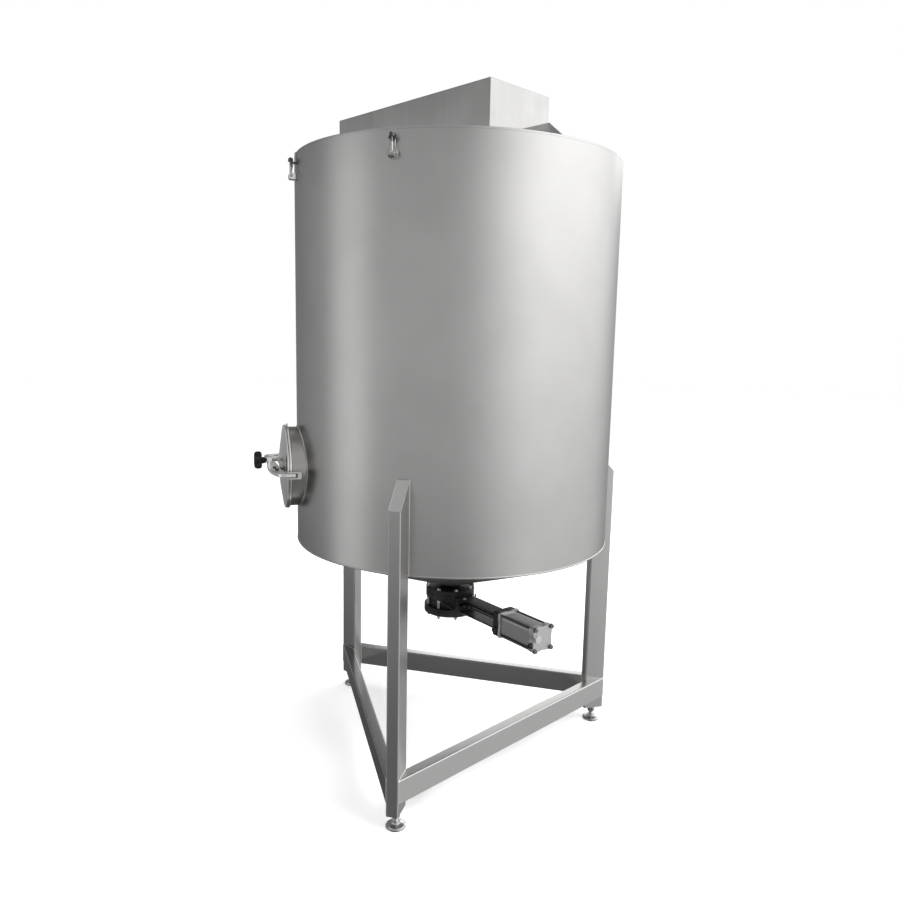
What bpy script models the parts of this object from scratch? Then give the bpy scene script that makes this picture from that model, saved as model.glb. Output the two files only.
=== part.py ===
"""Mixing tank on three legs, with a side manway and a knife gate valve under its cone.

Metres, +Z up, floor at z = 0. The pieces are laid out from the tank's own vertical axis,
which stands at AXIS_X, AXIS_Y, so that the origin is the middle of the whole object's box.
Azimuths are in degrees, counter-clockwise seen from above, from +X. In the frame of an
azimuth, x runs outward, y sideways and z up.
"""
import math

import bmesh
import bpy
from mathutils import Matrix, Vector

# Place of the tank's axis
AXIS_X = 0.0375
AXIS_Y = 0.0355

# Gap between pieces that touch, and the facets of the big round pieces
GAP = 0.0003
ROUND_STEPS = 96

# Tank body
TANK_RADIUS = 0.700
SHELL_WALL = 0.005
SHELL_BOTTOM = 1.005
SHELL_TOP = 2.622
CONE_WALL = 0.005
CONE_FOOT = 0.7565
OUTLET_BORE = 0.034
OUTLET_RADIUS = 0.040
OUTLET_PIPE_TOP = 0.776

# Covers, the deck strip between them, and the drive hood across them
COVER_THICKNESS = 0.008
COVER_TOP = SHELL_TOP + GAP + COVER_THICKNESS
DECK_HALF_WIDTH = 0.205
COVER_SEAM = 0.001
HOOD_AZIMUTH = 150
HOOD_HALF_WIDTH = 0.182
HOOD_FAR_END = 0.616
HOOD_NEAR_END = 0.346
HOOD_TOP = 2.891
HOOD_WALL = 0.004
DEFLECTOR_RISE = 0.158
DEFLECTOR_NEAR_FOOT = (-0.524, 0.182)
DEFLECTOR_FAR_FOOT = (-0.655, 0.100)
DEFLECTOR_SHEET = 0.003

# Frame: rectangular section, its narrow side flat against the shell
LEG_AZIMUTHS = {"front": -90, "right": 30, "left": 150}
RAIL_AZIMUTHS = {"right": -30, "back": 90, "left": 210}
SECTION_DEPTH = 0.100
SECTION_WIDTH = 0.050
LEG_BOTTOM = 0.067
LEG_TOP_OUTER = 1.272
LEG_TOP_INNER = 1.376
RAIL_BOTTOM = 0.121
RAIL_HEIGHT = 0.100
FOOT_RADIUS = 0.040
FOOT_THICKNESS = 0.012
FOOT_STEM_RADIUS = 0.012
FOOT_NUT_RADIUS = 0.018
FOOT_NUT_HEIGHT = 0.014

# Manway in the side of the shell
MANWAY_AZIMUTH = 212
MANWAY_HEIGHT = 1.337
MANWAY_RADIUS = 0.179
NECK_RADIUS = 0.170
NECK_WALL = 0.006
NECK_INNER_END = 0.655
NECK_FACE = 0.752
NECK_RING = 0.012
DOOR_EDGE = 0.007
DOOR_DISH_RADIUS = 0.170
DOOR_CROWN = 0.020
DOOR_SHEET = 0.006

# Clamp arm across the door, its hinge, its catch and the star knob on its screw
ARM_DROP = 0.005
ARM_HALF_HEIGHT = 0.007
ARM_BAR = 0.012
ARM_INNER = 0.783
ARM_INNER_SIDE = 0.180
ARM_CROWN = 0.822
ARM_SHOULDER = 0.770
ARM_FLAT = 0.030
ARM_BEND_STEPS = 9
ARM_TAIL = 0.730
ARM_WEB_BELOW = 0.004
ARM_SIDE = 0.205
HINGE_OUT = 0.757
HINGE_SIDE = 0.212
EYE_RADIUS = 0.013
PIN_RADIUS = 0.006
PIN_CLEARANCE = 0.001
PIN_HEAD = 0.006
LUG_PLATE = 0.006
LUG_CLEARANCE = 0.002
LUG_ROOT = 0.705
LUG_WEB = 0.722
LUG_WALL = 0.008
DOOR_ROOM = 0.012
CATCH_OUT = 0.765
KNOB_RISE = 0.028
BOSS_RADIUS = 0.015
BOSS_BACK = 0.012
BOSS_FRONT = 0.010
KNOB_RADIUS = 0.039
KNOB_FACE = 0.884
KNOB_THICKNESS = 0.032
KNOB_LOBES = 5
KNOB_LOBE_DEPTH = 0.17
HUB_RADIUS = 0.014
SCREW_RADIUS = 0.006

# Swing bolts that hold the covers
LATCH_AZIMUTHS = (-93.9, -146.1, 33.9, 86.1)
LATCH_PIVOT_HEIGHT = 2.536
LATCH_PIVOT_OUT = 0.020
LATCH_PIN_RADIUS = 0.0035
LATCH_PIN_HEAD = 0.0035
LATCH_EAR_GAP = 0.020
LATCH_EAR = 0.004
LATCH_EAR_BELOW = 0.014
LATCH_EAR_ABOVE = 0.012
LATCH_FORK_TOP = 2.592
LATCH_FORK_PLATE = 0.006
LATCH_FORK_HALF = 0.013
LATCH_STRAP = 0.003
LATCH_STEM_RADIUS = 0.005
LATCH_STEM_CLEARANCE = 0.0015
LATCH_NUT_RADIUS = 0.011
LATCH_NUT_HEIGHT = 0.013
LATCH_EYE_RADIUS = 0.009

# Knife gate valve
VALVE_AZIMUTH = -37
GATE_HEIGHT = 0.690
FLANGE_RADIUS = 0.1125
FLANGE_TOP = 0.752
FLANGE_THICKNESS = 0.022
BODY_TOP_STEP = 0.703
BODY_LOW_STEP = 0.665
BODY_NECK_RADIUS = 0.097
BODY_LOW_RADIUS = 0.120
LOWER_FLANGE_TOP = 0.653
LOWER_FLANGE_BOTTOM = 0.631
CHEST_END = 0.121
CHEST_HALF_WIDTH = 0.050
CHEST_HALF_HEIGHT = 0.035
BLADE_THICKNESS = 0.008
BLADE_HALF_WIDTH = 0.038
BLADE_SHOULDER = 0.050
BLADE_TAIL_HALF_WIDTH = 0.028
BLADE_END = 0.150
BLADE_CLEARANCE = 0.002
ROD_RADIUS = 0.010
ROD_END = 0.470
ROD_CLEARANCE = 0.0008

# Yoke and air cylinder beside the valve
YOKE_HALF_HEIGHT = 0.035
YOKE_HALF_WIDTH = 0.035
YOKE_PLATE = 0.006
YOKE_END = 0.372
PLATE_HALF = 0.054
PLATE_THICKNESS = 0.034
FRONT_CAP_HALF = 0.056
CAP_HALF = 0.053
CAP_CORNER = 0.010
FRONT_CAP_LENGTH = 0.012
END_CAP_LENGTH = 0.028
CYLINDER_END = 0.622
BARREL_HALF = 0.047
BARREL_CORNER = 0.018
BARREL_BORE = 0.042

ALONG_X = (0, math.pi / 2, 0)


def material(name, colour, roughness, metallic):
    """One Principled finish."""
    finish = bpy.data.materials.new(name)
    finish.use_nodes = True
    shader = finish.node_tree.nodes["Principled BSDF"]
    shader.inputs["Base Color"].default_value = (*colour, 1.0)
    shader.inputs["Roughness"].default_value = roughness
    shader.inputs["Metallic"].default_value = metallic
    return finish


def clear_scene():
    for item in list(bpy.data.objects):
        bpy.data.objects.remove(item, do_unlink=True)


def empty(name, parent=None, location=(0, 0, 0), azimuth=0.0):
    """A frame turned about +Z, so that its +X points outward at the azimuth."""
    frame = bpy.data.objects.new(name, None)
    frame.location = location
    frame.rotation_euler = (0, 0, math.radians(azimuth))
    frame.parent = parent
    TANK.objects.link(frame)
    return frame


def node(name, mesh, finish, parent, location=(0, 0, 0), rotation=(0, 0, 0)):
    """A piece of the tank as its own object, with a finish of its own."""
    piece = bpy.data.objects.new(name, mesh)
    piece.parent = parent
    piece.location = location
    piece.rotation_euler = rotation
    own = finish.copy()
    own.name = f"{name}_finish"
    mesh.materials.append(own)
    TANK.objects.link(piece)
    return piece


def mesh_from(bm, name):
    mesh = bpy.data.meshes.new(name)
    bmesh.ops.recalc_face_normals(bm, faces=bm.faces)
    bm.to_mesh(mesh)
    bm.free()
    return mesh


def box_mesh(name, low, high, shape=None):
    """A cuboid between two corners; shape may then move each corner."""
    low, high = Vector(low), Vector(high)
    place = Matrix.Translation((low + high) / 2) @ Matrix.Diagonal((*(high - low), 1))
    bm = bmesh.new()
    bmesh.ops.create_cube(bm, size=1.0, matrix=place)
    if shape:
        for vert in bm.verts:
            vert.co = shape(vert.co.copy())
    return mesh_from(bm, name)


def rod_mesh(name, radius, start, end, axis="Z", steps=24):
    """A round bar between two places on one axis."""
    turns = {
        "X": Matrix.Rotation(math.pi / 2, 4, "Y"),
        "Y": Matrix.Rotation(-math.pi / 2, 4, "X"),
        "Z": Matrix(),
    }
    place = turns[axis] @ Matrix.Translation((0, 0, (start + end) / 2))
    bm = bmesh.new()
    bmesh.ops.create_cone(
        bm, cap_ends=True, segments=steps, radius1=radius, radius2=radius,
        depth=end - start, matrix=place,
    )
    return mesh_from(bm, name)


def turned(name, profile, finish, parent, location=(0, 0, 0), rotation=(0, 0, 0),
           steps=ROUND_STEPS, ring=True):
    """A turned piece: a profile of (radius, height) points, run down its outer side.

    A ring's profile is a closed loop away from the axis, a solid's starts and ends on it.
    """
    mesh = bpy.data.meshes.new(name)
    edges = [(i, i + 1) for i in range(len(profile) - 1)]
    if ring:
        edges.append((len(profile) - 1, 0))
    mesh.from_pydata([(radius, 0, height) for radius, height in profile], edges, [])
    piece = node(name, mesh, finish, parent, location, rotation)
    screw = piece.modifiers.new("turn", "SCREW")
    screw.steps = steps
    screw.render_steps = steps
    screw.use_merge_vertices = True
    screw.merge_threshold = 0.00005
    screw.use_smooth_shade = True
    return piece


def outline_mesh(name, points, thickness):
    """A flat outline in x and y, filled, with its thickness centred on z = 0."""
    curve = bpy.data.curves.new(name, "CURVE")
    curve.dimensions = "2D"
    curve.fill_mode = "BOTH"
    curve.extrude = thickness / 2
    spline = curve.splines.new("POLY")
    spline.points.add(len(points) - 1)
    for place, (x, y) in zip(spline.points, points):
        place.co = (x, y, 0, 1)
    spline.use_cyclic_u = True
    guide = bpy.data.objects.new(name, curve)
    bpy.context.scene.collection.objects.link(guide)
    depsgraph = bpy.context.evaluated_depsgraph_get()
    flat = bpy.data.meshes.new_from_object(guide.evaluated_get(depsgraph))
    bpy.data.objects.remove(guide, do_unlink=True)
    bpy.data.curves.remove(curve)
    bm = bmesh.new()
    bm.from_mesh(flat)
    bpy.data.meshes.remove(flat)
    bmesh.ops.remove_doubles(bm, verts=bm.verts, dist=0.00001)
    return mesh_from(bm, name)


def boolean(piece, name, mesh, parent, location=(0, 0, 0), operation="DIFFERENCE"):
    """Cut a piece with a hidden cutter, or join the cutter's shape to it."""
    tool = bpy.data.objects.new(name, mesh)
    tool.parent = parent
    tool.location = location
    tool.hide_render = True
    tool.display_type = "WIRE"
    CUTTERS.objects.link(tool)
    step = piece.modifiers.new(name, "BOOLEAN")
    step.object = tool
    step.operation = operation
    step.solver = "EXACT"


def arc(radius, start, end, steps):
    """Points of a circular arc about the centre, between two angles in degrees."""
    turns = [math.radians(start + (end - start) * i / steps) for i in range(steps + 1)]
    return [(radius * math.cos(a), radius * math.sin(a)) for a in turns]


def build_body(axis, manway):
    """The cylindrical shell with the manway's hole in it, and the cone under it."""
    inner = TANK_RADIUS - SHELL_WALL
    shell = turned("tank_shell", [
        (TANK_RADIUS, SHELL_TOP), (TANK_RADIUS, SHELL_BOTTOM),
        (inner, SHELL_BOTTOM), (inner, SHELL_TOP),
    ], STAINLESS, axis)
    hole = rod_mesh("manway_hole", NECK_RADIUS + GAP, NECK_INNER_END, NECK_FACE, "X", 64)
    boolean(shell, "manway_hole", hole, manway)

    top = SHELL_BOTTOM - GAP
    foot = OUTLET_RADIUS + GAP
    turned("bottom_cone", [
        (TANK_RADIUS, top), (TANK_RADIUS, top - CONE_WALL), (foot, CONE_FOOT),
        (foot, CONE_FOOT + CONE_WALL), (TANK_RADIUS - 2 * CONE_WALL, top),
    ], STAINLESS, axis)


def build_covers(hood_frame):
    """The fixed deck strip, with a half cover on either side of it."""
    middle = SHELL_TOP + GAP + COVER_THICKNESS / 2
    side = math.degrees(math.asin(DECK_HALF_WIDTH / TANK_RADIUS))
    deck = arc(TANK_RADIUS, -side, side, 12) + arc(TANK_RADIUS, 180 - side, 180 + side, 12)
    deck_mesh = outline_mesh("lid_deck", deck, COVER_THICKNESS)
    node("lid_deck", deck_mesh, STAINLESS, hood_frame, (0, 0, middle))
    seam = math.degrees(math.asin((DECK_HALF_WIDTH + COVER_SEAM) / TANK_RADIUS))
    half = arc(TANK_RADIUS, seam, 180 - seam, 48)
    for name, turn in (("cover_front", 0.0), ("cover_back", math.pi)):
        cover = outline_mesh(name, half, COVER_THICKNESS)
        node(name, cover, STAINLESS, hood_frame, (0, 0, middle), (0, 0, turn))


def build_hood(hood_frame):
    """The drive hood: an open-bottomed sheet box that stands on the deck."""
    foot = COVER_TOP + GAP
    low = (-HOOD_NEAR_END, -HOOD_HALF_WIDTH, foot)
    hood_mesh = box_mesh("drive_hood", low, (HOOD_FAR_END, HOOD_HALF_WIDTH, HOOD_TOP))
    bm = bmesh.new()
    bm.from_mesh(hood_mesh)
    floor = min(bm.faces, key=lambda face: face.calc_center_median().z)
    bmesh.ops.delete(bm, geom=[floor], context="FACES_ONLY")
    bm.to_mesh(hood_mesh)
    bm.free()
    hood = node("drive_hood", hood_mesh, BRUSHED, hood_frame)
    sheet = hood.modifiers.new("sheet", "SOLIDIFY")
    sheet.thickness = HOOD_WALL
    sheet.offset = -1.0
    sheet.use_even_offset = True


def build_deflector(hood_frame):
    """A plane sheet that slopes from the deck up to the hood's end face, highest at one side."""
    near_foot = Vector(DEFLECTOR_NEAR_FOOT)
    far_foot = Vector(DEFLECTOR_FAR_FOOT)
    run = (far_foot - near_foot).normalized()
    across = Vector((-run.y, run.x))
    face = -HOOD_NEAR_END - 2 * GAP
    high_corner = Vector((face, -HOOD_HALF_WIDTH)) - near_foot
    low_corner = Vector((face, HOOD_HALF_WIDTH)) - near_foot
    tilt = math.atan2(DEFLECTOR_RISE, high_corner.dot(across))
    outline = [(0, 0), ((far_foot - near_foot).length, 0)]
    for corner in (high_corner, low_corner):
        outline.append((corner.dot(run), corner.dot(across) / math.cos(tilt)))
    sheet = outline_mesh("hood_deflector", outline, DEFLECTOR_SHEET)
    place = (near_foot.x, near_foot.y, COVER_TOP + GAP + DEFLECTOR_SHEET / 2)
    turn = (tilt, 0, math.atan2(run.y, run.x))
    node("hood_deflector", sheet, BRUSHED, hood_frame, place, turn)


def build_leg(name, azimuth, axis):
    """One upright, its top cut sloping down and outwards, with its levelling foot."""
    frame = empty(f"leg_{name}_frame", axis, (0, 0, 0), azimuth)
    start = TANK_RADIUS + GAP
    middle = start + SECTION_DEPTH / 2
    half = SECTION_WIDTH / 2

    def slope_top(corner):
        if corner.z > LEG_TOP_OUTER / 2 and corner.x < middle:
            corner.z = LEG_TOP_INNER
        return corner

    low, high = (start, -half, LEG_BOTTOM), (start + SECTION_DEPTH, half, LEG_TOP_OUTER)
    node(f"leg_{name}", box_mesh(f"leg_{name}", low, high, slope_top), STAINLESS, frame)
    top = LEG_BOTTOM - GAP
    nut = top - FOOT_NUT_HEIGHT
    disc = FOOT_THICKNESS
    turned(f"foot_{name}", [
        (0, top), (FOOT_NUT_RADIUS, top), (FOOT_NUT_RADIUS, nut), (FOOT_STEM_RADIUS, nut),
        (FOOT_STEM_RADIUS, 2 * disc), (FOOT_RADIUS - disc / 2, disc),
        (FOOT_RADIUS, disc / 2), (FOOT_RADIUS, 0), (0, 0),
    ], STAINLESS, frame, (middle, 0, 0), steps=32, ring=False)


def build_rail(name, azimuth, axis):
    """A rail between two legs, mitred at both ends to lie flat on the legs' side faces."""
    frame = empty(f"rail_{name}_frame", axis, (0, 0, 0), azimuth)
    apart = math.radians(60)
    outer = (TANK_RADIUS + SECTION_DEPTH) * math.cos(apart) + SECTION_WIDTH / 2 * math.sin(apart)
    leg_side = SECTION_WIDTH / 2 + GAP

    def mitre(corner):
        end = (corner.x * math.sin(apart) - leg_side) / math.cos(apart)
        corner.y = math.copysign(end, corner.y)
        return corner

    low, high = (outer - SECTION_WIDTH, -1, RAIL_BOTTOM), (outer, 1, RAIL_BOTTOM + RAIL_HEIGHT)
    node(f"rail_{name}", box_mesh(f"rail_{name}", low, high, mitre), STAINLESS, frame)


def dish_height(radius):
    """How far the door's dished middle stands out at a radius from its centre."""
    return DOOR_CROWN * math.sin(math.pi / 2 * (1 - radius / DOOR_DISH_RADIUS))


def build_manway_neck(manway):
    bore = NECK_RADIUS - NECK_WALL
    back = NECK_FACE - NECK_RING
    turned("manway_neck", [
        (NECK_RADIUS, NECK_INNER_END), (bore, NECK_INNER_END), (bore, NECK_FACE),
        (MANWAY_RADIUS, NECK_FACE), (MANWAY_RADIUS, back), (NECK_RADIUS, back),
    ], STAINLESS, manway, rotation=ALONG_X, steps=64)


def build_door(arm_frame, shift):
    """The dished door. Its profile runs out over the crown, round the edge and back inside."""
    back = NECK_FACE + GAP
    front = back + DOOR_EDGE
    radii = [DOOR_DISH_RADIUS * i / 6 for i in range(7)]
    outside = [(radius, front + dish_height(radius)) for radius in radii]
    edge = [(MANWAY_RADIUS, front), (MANWAY_RADIUS, back), (DOOR_DISH_RADIUS - DOOR_SHEET, back)]
    inside = [(radius, front + dish_height(radius) - DOOR_SHEET) for radius in reversed(radii[:-1])]
    profile = outside + edge + inside
    turned("manway_door", profile, STAINLESS, arm_frame, shift, ALONG_X, steps=64, ring=False)


def arm_bend(side, reach):
    """The arm's bend at one side, from its foot to its flat front, a quarter of an ellipse."""
    points = []
    for i in range(ARM_BEND_STEPS):
        turn = math.pi / 2 * i / ARM_BEND_STEPS
        x = ARM_SHOULDER + (ARM_CROWN - ARM_SHOULDER) * math.sin(turn)
        y = ARM_FLAT + (reach - ARM_FLAT) * math.cos(turn)
        points.append((x, side * y))
    return points


def build_arm(arm_frame, shift):
    """The clamp arm: a flat crescent round the door's front, with a hinge eye and a screw boss."""
    half = ARM_BAR / 2
    crown = [(ARM_CROWN, -ARM_FLAT), (ARM_CROWN, ARM_FLAT)]
    spine = [(HINGE_OUT, -HINGE_SIDE)] + arm_bend(-1, HINGE_SIDE) + crown
    spine += arm_bend(1, ARM_SIDE)[::-1] + [(ARM_TAIL, ARM_SIDE)]
    outer, inner = [], []
    for i, (x, y) in enumerate(spine):
        before, after = Vector(spine[max(i - 1, 0)]), Vector(spine[min(i + 1, len(spine) - 1)])
        run = (after - before).normalized()
        outer.append((x + run.y * half, y - run.x * half))
        if abs(y) > ARM_INNER_SIDE:
            inner.append((x - run.y * half, y + run.x * half))
        elif abs(y) <= ARM_FLAT:
            inner.append((ARM_INNER, y))
    level = shift + Vector((0, 0, -ARM_DROP))
    bar = outline_mesh("clamp_arm", outer + inner[::-1], 2 * ARM_HALF_HEIGHT)
    arm = node("clamp_arm", bar, POLISHED, arm_frame, level)
    eye = rod_mesh("arm_eye", EYE_RADIUS, -ARM_HALF_HEIGHT, ARM_HALF_HEIGHT, "Z", 32)
    boolean(arm, "arm_eye", eye, arm_frame, (0, 0, -ARM_DROP), "UNION")
    web_foot = -ARM_DROP - ARM_HALF_HEIGHT - ARM_WEB_BELOW
    web = box_mesh("arm_web", (ARM_CROWN - half, -BOSS_RADIUS, web_foot),
                   (ARM_CROWN + half, BOSS_RADIUS, KNOB_RISE))
    boolean(arm, "arm_web", web, arm_frame, shift, "UNION")
    screw_level = shift + Vector((0, 0, KNOB_RISE))
    boss_mesh = rod_mesh("arm_boss", BOSS_RADIUS, ARM_CROWN - BOSS_BACK, ARM_CROWN + BOSS_FRONT, "X", 32)
    boolean(arm, "arm_boss", boss_mesh, arm_frame, screw_level, "UNION")
    through = 2 * ARM_HALF_HEIGHT
    pin_hole = rod_mesh("arm_pin_hole", PIN_RADIUS + PIN_CLEARANCE, -through, through, "Z", 32)
    boolean(arm, "arm_pin_hole", pin_hole, arm_frame, (0, 0, -ARM_DROP))
    through = 2 * BOSS_RADIUS
    screw_room = SCREW_RADIUS + PIN_CLEARANCE
    screw_hole = rod_mesh("arm_screw_hole", screw_room, ARM_CROWN - through, ARM_CROWN + through, "X")
    boolean(arm, "arm_screw_hole", screw_hole, arm_frame, screw_level)


def build_lug(name, side, tip, out, manway):
    """Two plates and a web beside the neck's ring, with the arm's end between them."""
    clear = ARM_HALF_HEIGHT + LUG_CLEARANCE
    low, high = -ARM_DROP - clear - LUG_PLATE, -ARM_DROP + clear + LUG_PLATE
    reach = tip + EYE_RADIUS
    near, far = sorted((side * (NECK_RADIUS - NECK_WALL), side * reach))
    lug = node(name, box_mesh(name, (LUG_ROOT, near, low), (out, far, high)), POLISHED, manway)
    past = EYE_RADIUS
    near, far = sorted((side * (MANWAY_RADIUS + LUG_WALL), side * (reach + past)))
    mouth = box_mesh(f"{name}_mouth", (LUG_WEB, near, low + LUG_PLATE), (out + past, far, high - LUG_PLATE))
    boolean(lug, f"{name}_mouth", mouth, manway)
    seat = rod_mesh(f"{name}_seat", NECK_RADIUS + GAP, LUG_ROOT - past, NECK_FACE, "X", 128)
    boolean(lug, f"{name}_seat", seat, manway)
    ring_back = NECK_FACE - NECK_RING - GAP
    ring_seat = rod_mesh(f"{name}_ring_seat", MANWAY_RADIUS + GAP, ring_back, NECK_FACE, "X", 128)
    boolean(lug, f"{name}_ring_seat", ring_seat, manway)
    door_room = MANWAY_RADIUS + DOOR_ROOM
    room = rod_mesh(f"{name}_room", door_room, NECK_FACE - DOOR_ROOM, out + past, "X", 96)
    boolean(lug, f"{name}_room", room, manway)
    return lug, low, high


def build_knob(arm_frame, shift):
    """Star knob: a lobed head, its hub, and the screw that bears on the door."""
    knob_frame = empty("knob_axis", arm_frame, shift + Vector((0, 0, KNOB_RISE)))
    turns = [2 * math.pi * i / 80 for i in range(80)]
    lobes = [KNOB_RADIUS * (1 - KNOB_LOBE_DEPTH * (1 - math.cos(KNOB_LOBES * a))) for a in turns]
    star = [(r * math.cos(a), r * math.sin(a)) for r, a in zip(lobes, turns)]
    head = outline_mesh("star_knob", star, KNOB_THICKNESS)
    middle = KNOB_FACE - KNOB_THICKNESS / 2
    knob = node("star_knob", head, BLACK_PLASTIC, knob_frame, (middle, 0, 0), ALONG_X)
    hub = rod_mesh("knob_hub", HUB_RADIUS, ARM_CROWN + ARM_BAR, middle, "X")
    boolean(knob, "knob_hub", hub, knob_frame, operation="UNION")
    tip = NECK_FACE + DOOR_EDGE + dish_height(KNOB_RISE) + 3 * GAP
    screw = rod_mesh("knob_screw", SCREW_RADIUS, tip, middle, "X")
    boolean(knob, "knob_screw", screw, knob_frame, operation="UNION")


def build_manway(manway):
    """Neck, door and clamp arm on one hinge axis, the two lugs and the star knob."""
    build_manway_neck(manway)
    arm_frame = empty("arm_axis", manway, (HINGE_OUT, -HINGE_SIDE, 0))
    shift = Vector((-HINGE_OUT, HINGE_SIDE, 0))
    build_door(arm_frame, shift)
    build_arm(arm_frame, shift)
    build_knob(arm_frame, shift)
    hinge, low, high = build_lug("manway_hinge", -1, HINGE_SIDE, HINGE_OUT + EYE_RADIUS, manway)
    pin = rod_mesh("hinge_pin", PIN_RADIUS, low - PIN_HEAD, high + PIN_HEAD)
    boolean(hinge, "hinge_pin", pin, manway, (HINGE_OUT, -HINGE_SIDE, 0), "UNION")
    build_lug("manway_catch", 1, ARM_SIDE, CATCH_OUT, manway)


def build_latch(number, azimuth, axis):
    """A swing bolt: ears on the shell, the bolt that pivots in them, and the cover's fork."""
    frame = empty(f"latch_{number}_frame", axis, (0, 0, 0), azimuth)
    face = TANK_RADIUS + GAP
    pivot = face + LATCH_PIVOT_OUT
    half = LATCH_EAR_GAP / 2
    wide = half + LATCH_EAR
    low, high = LATCH_PIVOT_HEIGHT - LATCH_EAR_BELOW, LATCH_PIVOT_HEIGHT + LATCH_EAR_ABOVE
    plate = box_mesh("latch_bracket", (face, -wide, low), (pivot + LATCH_EYE_RADIUS, wide, high))
    bracket = node(f"latch_bracket_{number}", plate, POLISHED, frame)
    past = LATCH_PIVOT_OUT
    between = box_mesh("ear_gap", (face + LATCH_EAR, -half, low - past), (pivot + past, half, high + past))
    boolean(bracket, f"ear_gap_{number}", between, frame)
    head = wide + LATCH_PIN_HEAD
    pin = rod_mesh("latch_pin", LATCH_PIN_RADIUS, -head, head, "Y", 16)
    boolean(bracket, f"latch_pin_{number}", pin, frame, (pivot, 0, LATCH_PIVOT_HEIGHT), "UNION")

    swing = empty(f"latch_{number}_axis", frame, (pivot, 0, LATCH_PIVOT_HEIGHT))
    nut = LATCH_FORK_TOP - LATCH_PIVOT_HEIGHT + 2 * GAP
    bolt = turned(f"latch_bolt_{number}", [
        (0, nut + LATCH_NUT_HEIGHT), (LATCH_NUT_RADIUS, nut + LATCH_NUT_HEIGHT), (LATCH_NUT_RADIUS, nut),
        (LATCH_STEM_RADIUS, nut), (LATCH_STEM_RADIUS, 0), (0, 0),
    ], POLISHED, swing, steps=24, ring=False)
    eye = rod_mesh("bolt_eye", LATCH_EYE_RADIUS, -LATCH_EYE_RADIUS, LATCH_EYE_RADIUS, "Y")
    boolean(bolt, f"bolt_eye_{number}", eye, swing, operation="UNION")
    hole = rod_mesh("bolt_hole", LATCH_PIN_RADIUS + PIN_CLEARANCE, -half, half, "Y")
    boolean(bolt, f"bolt_hole_{number}", hole, swing)

    under = LATCH_FORK_TOP - LATCH_FORK_PLATE
    side = LATCH_FORK_HALF
    strap = box_mesh("latch_fork", (face, -side, under), (face + LATCH_STRAP, side, COVER_TOP))
    fork = node(f"latch_fork_{number}", strap, POLISHED, frame)
    prongs = box_mesh("fork_prongs", (face + LATCH_STRAP / 2, -side, under),
                      (pivot + LATCH_STRAP, side, LATCH_FORK_TOP))
    boolean(fork, f"fork_prongs_{number}", prongs, frame, operation="UNION")
    room = LATCH_STEM_RADIUS + LATCH_STEM_CLEARANCE
    slot = box_mesh("fork_slot", (pivot - room, -room, under - past),
                    (pivot + past, room, LATCH_FORK_TOP + past))
    boolean(fork, f"fork_slot_{number}", slot, frame)


def build_valve_body(valve):
    """Outlet flange, the two-step body with its gate chest and slot, and the lower flange."""
    flange_foot = FLANGE_TOP - FLANGE_THICKNESS
    turned("outlet_flange", [
        (OUTLET_RADIUS, OUTLET_PIPE_TOP), (OUTLET_RADIUS, FLANGE_TOP), (FLANGE_RADIUS, FLANGE_TOP),
        (FLANGE_RADIUS, flange_foot), (OUTLET_BORE, flange_foot), (OUTLET_BORE, OUTLET_PIPE_TOP),
    ], CAST_BLACK, valve, steps=48)
    top, foot = flange_foot - GAP, LOWER_FLANGE_TOP + GAP
    body = turned("valve_body", [
        (FLANGE_RADIUS, top), (FLANGE_RADIUS, BODY_TOP_STEP), (BODY_NECK_RADIUS, BODY_TOP_STEP),
        (BODY_NECK_RADIUS, BODY_LOW_STEP), (BODY_LOW_RADIUS, BODY_LOW_STEP), (BODY_LOW_RADIUS, foot),
        (OUTLET_BORE, foot), (OUTLET_BORE, top),
    ], CAST_BLACK, valve, steps=48)
    wide, tall = CHEST_HALF_WIDTH, CHEST_HALF_HEIGHT
    chest = box_mesh("gate_chest", (BODY_NECK_RADIUS / 2, -wide, GATE_HEIGHT - tall),
                     (CHEST_END, wide, GATE_HEIGHT + tall))
    boolean(body, "gate_chest", chest, valve, operation="UNION")
    bore = rod_mesh("body_bore", OUTLET_BORE, LOWER_FLANGE_BOTTOM, FLANGE_TOP, steps=48)
    boolean(body, "body_bore", bore, valve)
    side = BLADE_HALF_WIDTH + BLADE_CLEARANCE
    slot = arc(side, 90, 270, 24) + [(2 * CHEST_END, -side), (2 * CHEST_END, side)]
    slot_mesh = outline_mesh("blade_slot", slot, BLADE_THICKNESS + 2 * BLADE_CLEARANCE)
    boolean(body, "blade_slot", slot_mesh, valve, (0, 0, GATE_HEIGHT))
    turned("lower_flange", [
        (BODY_LOW_RADIUS, LOWER_FLANGE_TOP), (BODY_LOW_RADIUS, LOWER_FLANGE_BOTTOM),
        (OUTLET_BORE, LOWER_FLANGE_BOTTOM), (OUTLET_BORE, LOWER_FLANGE_TOP),
    ], CAST_BLACK, valve, steps=48)


def build_gate(gate_frame):
    """The blade with its round nose, shown shut, and the rod that draws it out."""
    wide, slim = BLADE_HALF_WIDTH, BLADE_TAIL_HALF_WIDTH
    tail = BLADE_SHOULDER + 2 * (wide - slim)
    outline = arc(wide, 90, 270, 24) + [
        (BLADE_SHOULDER, -wide), (tail, -slim), (BLADE_END, -slim),
        (BLADE_END, slim), (tail, slim), (BLADE_SHOULDER, wide),
    ]
    blade_mesh = outline_mesh("gate_blade", outline, BLADE_THICKNESS)
    gate = node("gate_blade", blade_mesh, STAINLESS, gate_frame)
    rod = rod_mesh("gate_rod", ROD_RADIUS, BLADE_END - ROD_RADIUS, ROD_END, "X")
    boolean(gate, "gate_rod", rod, gate_frame, operation="UNION")


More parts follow.
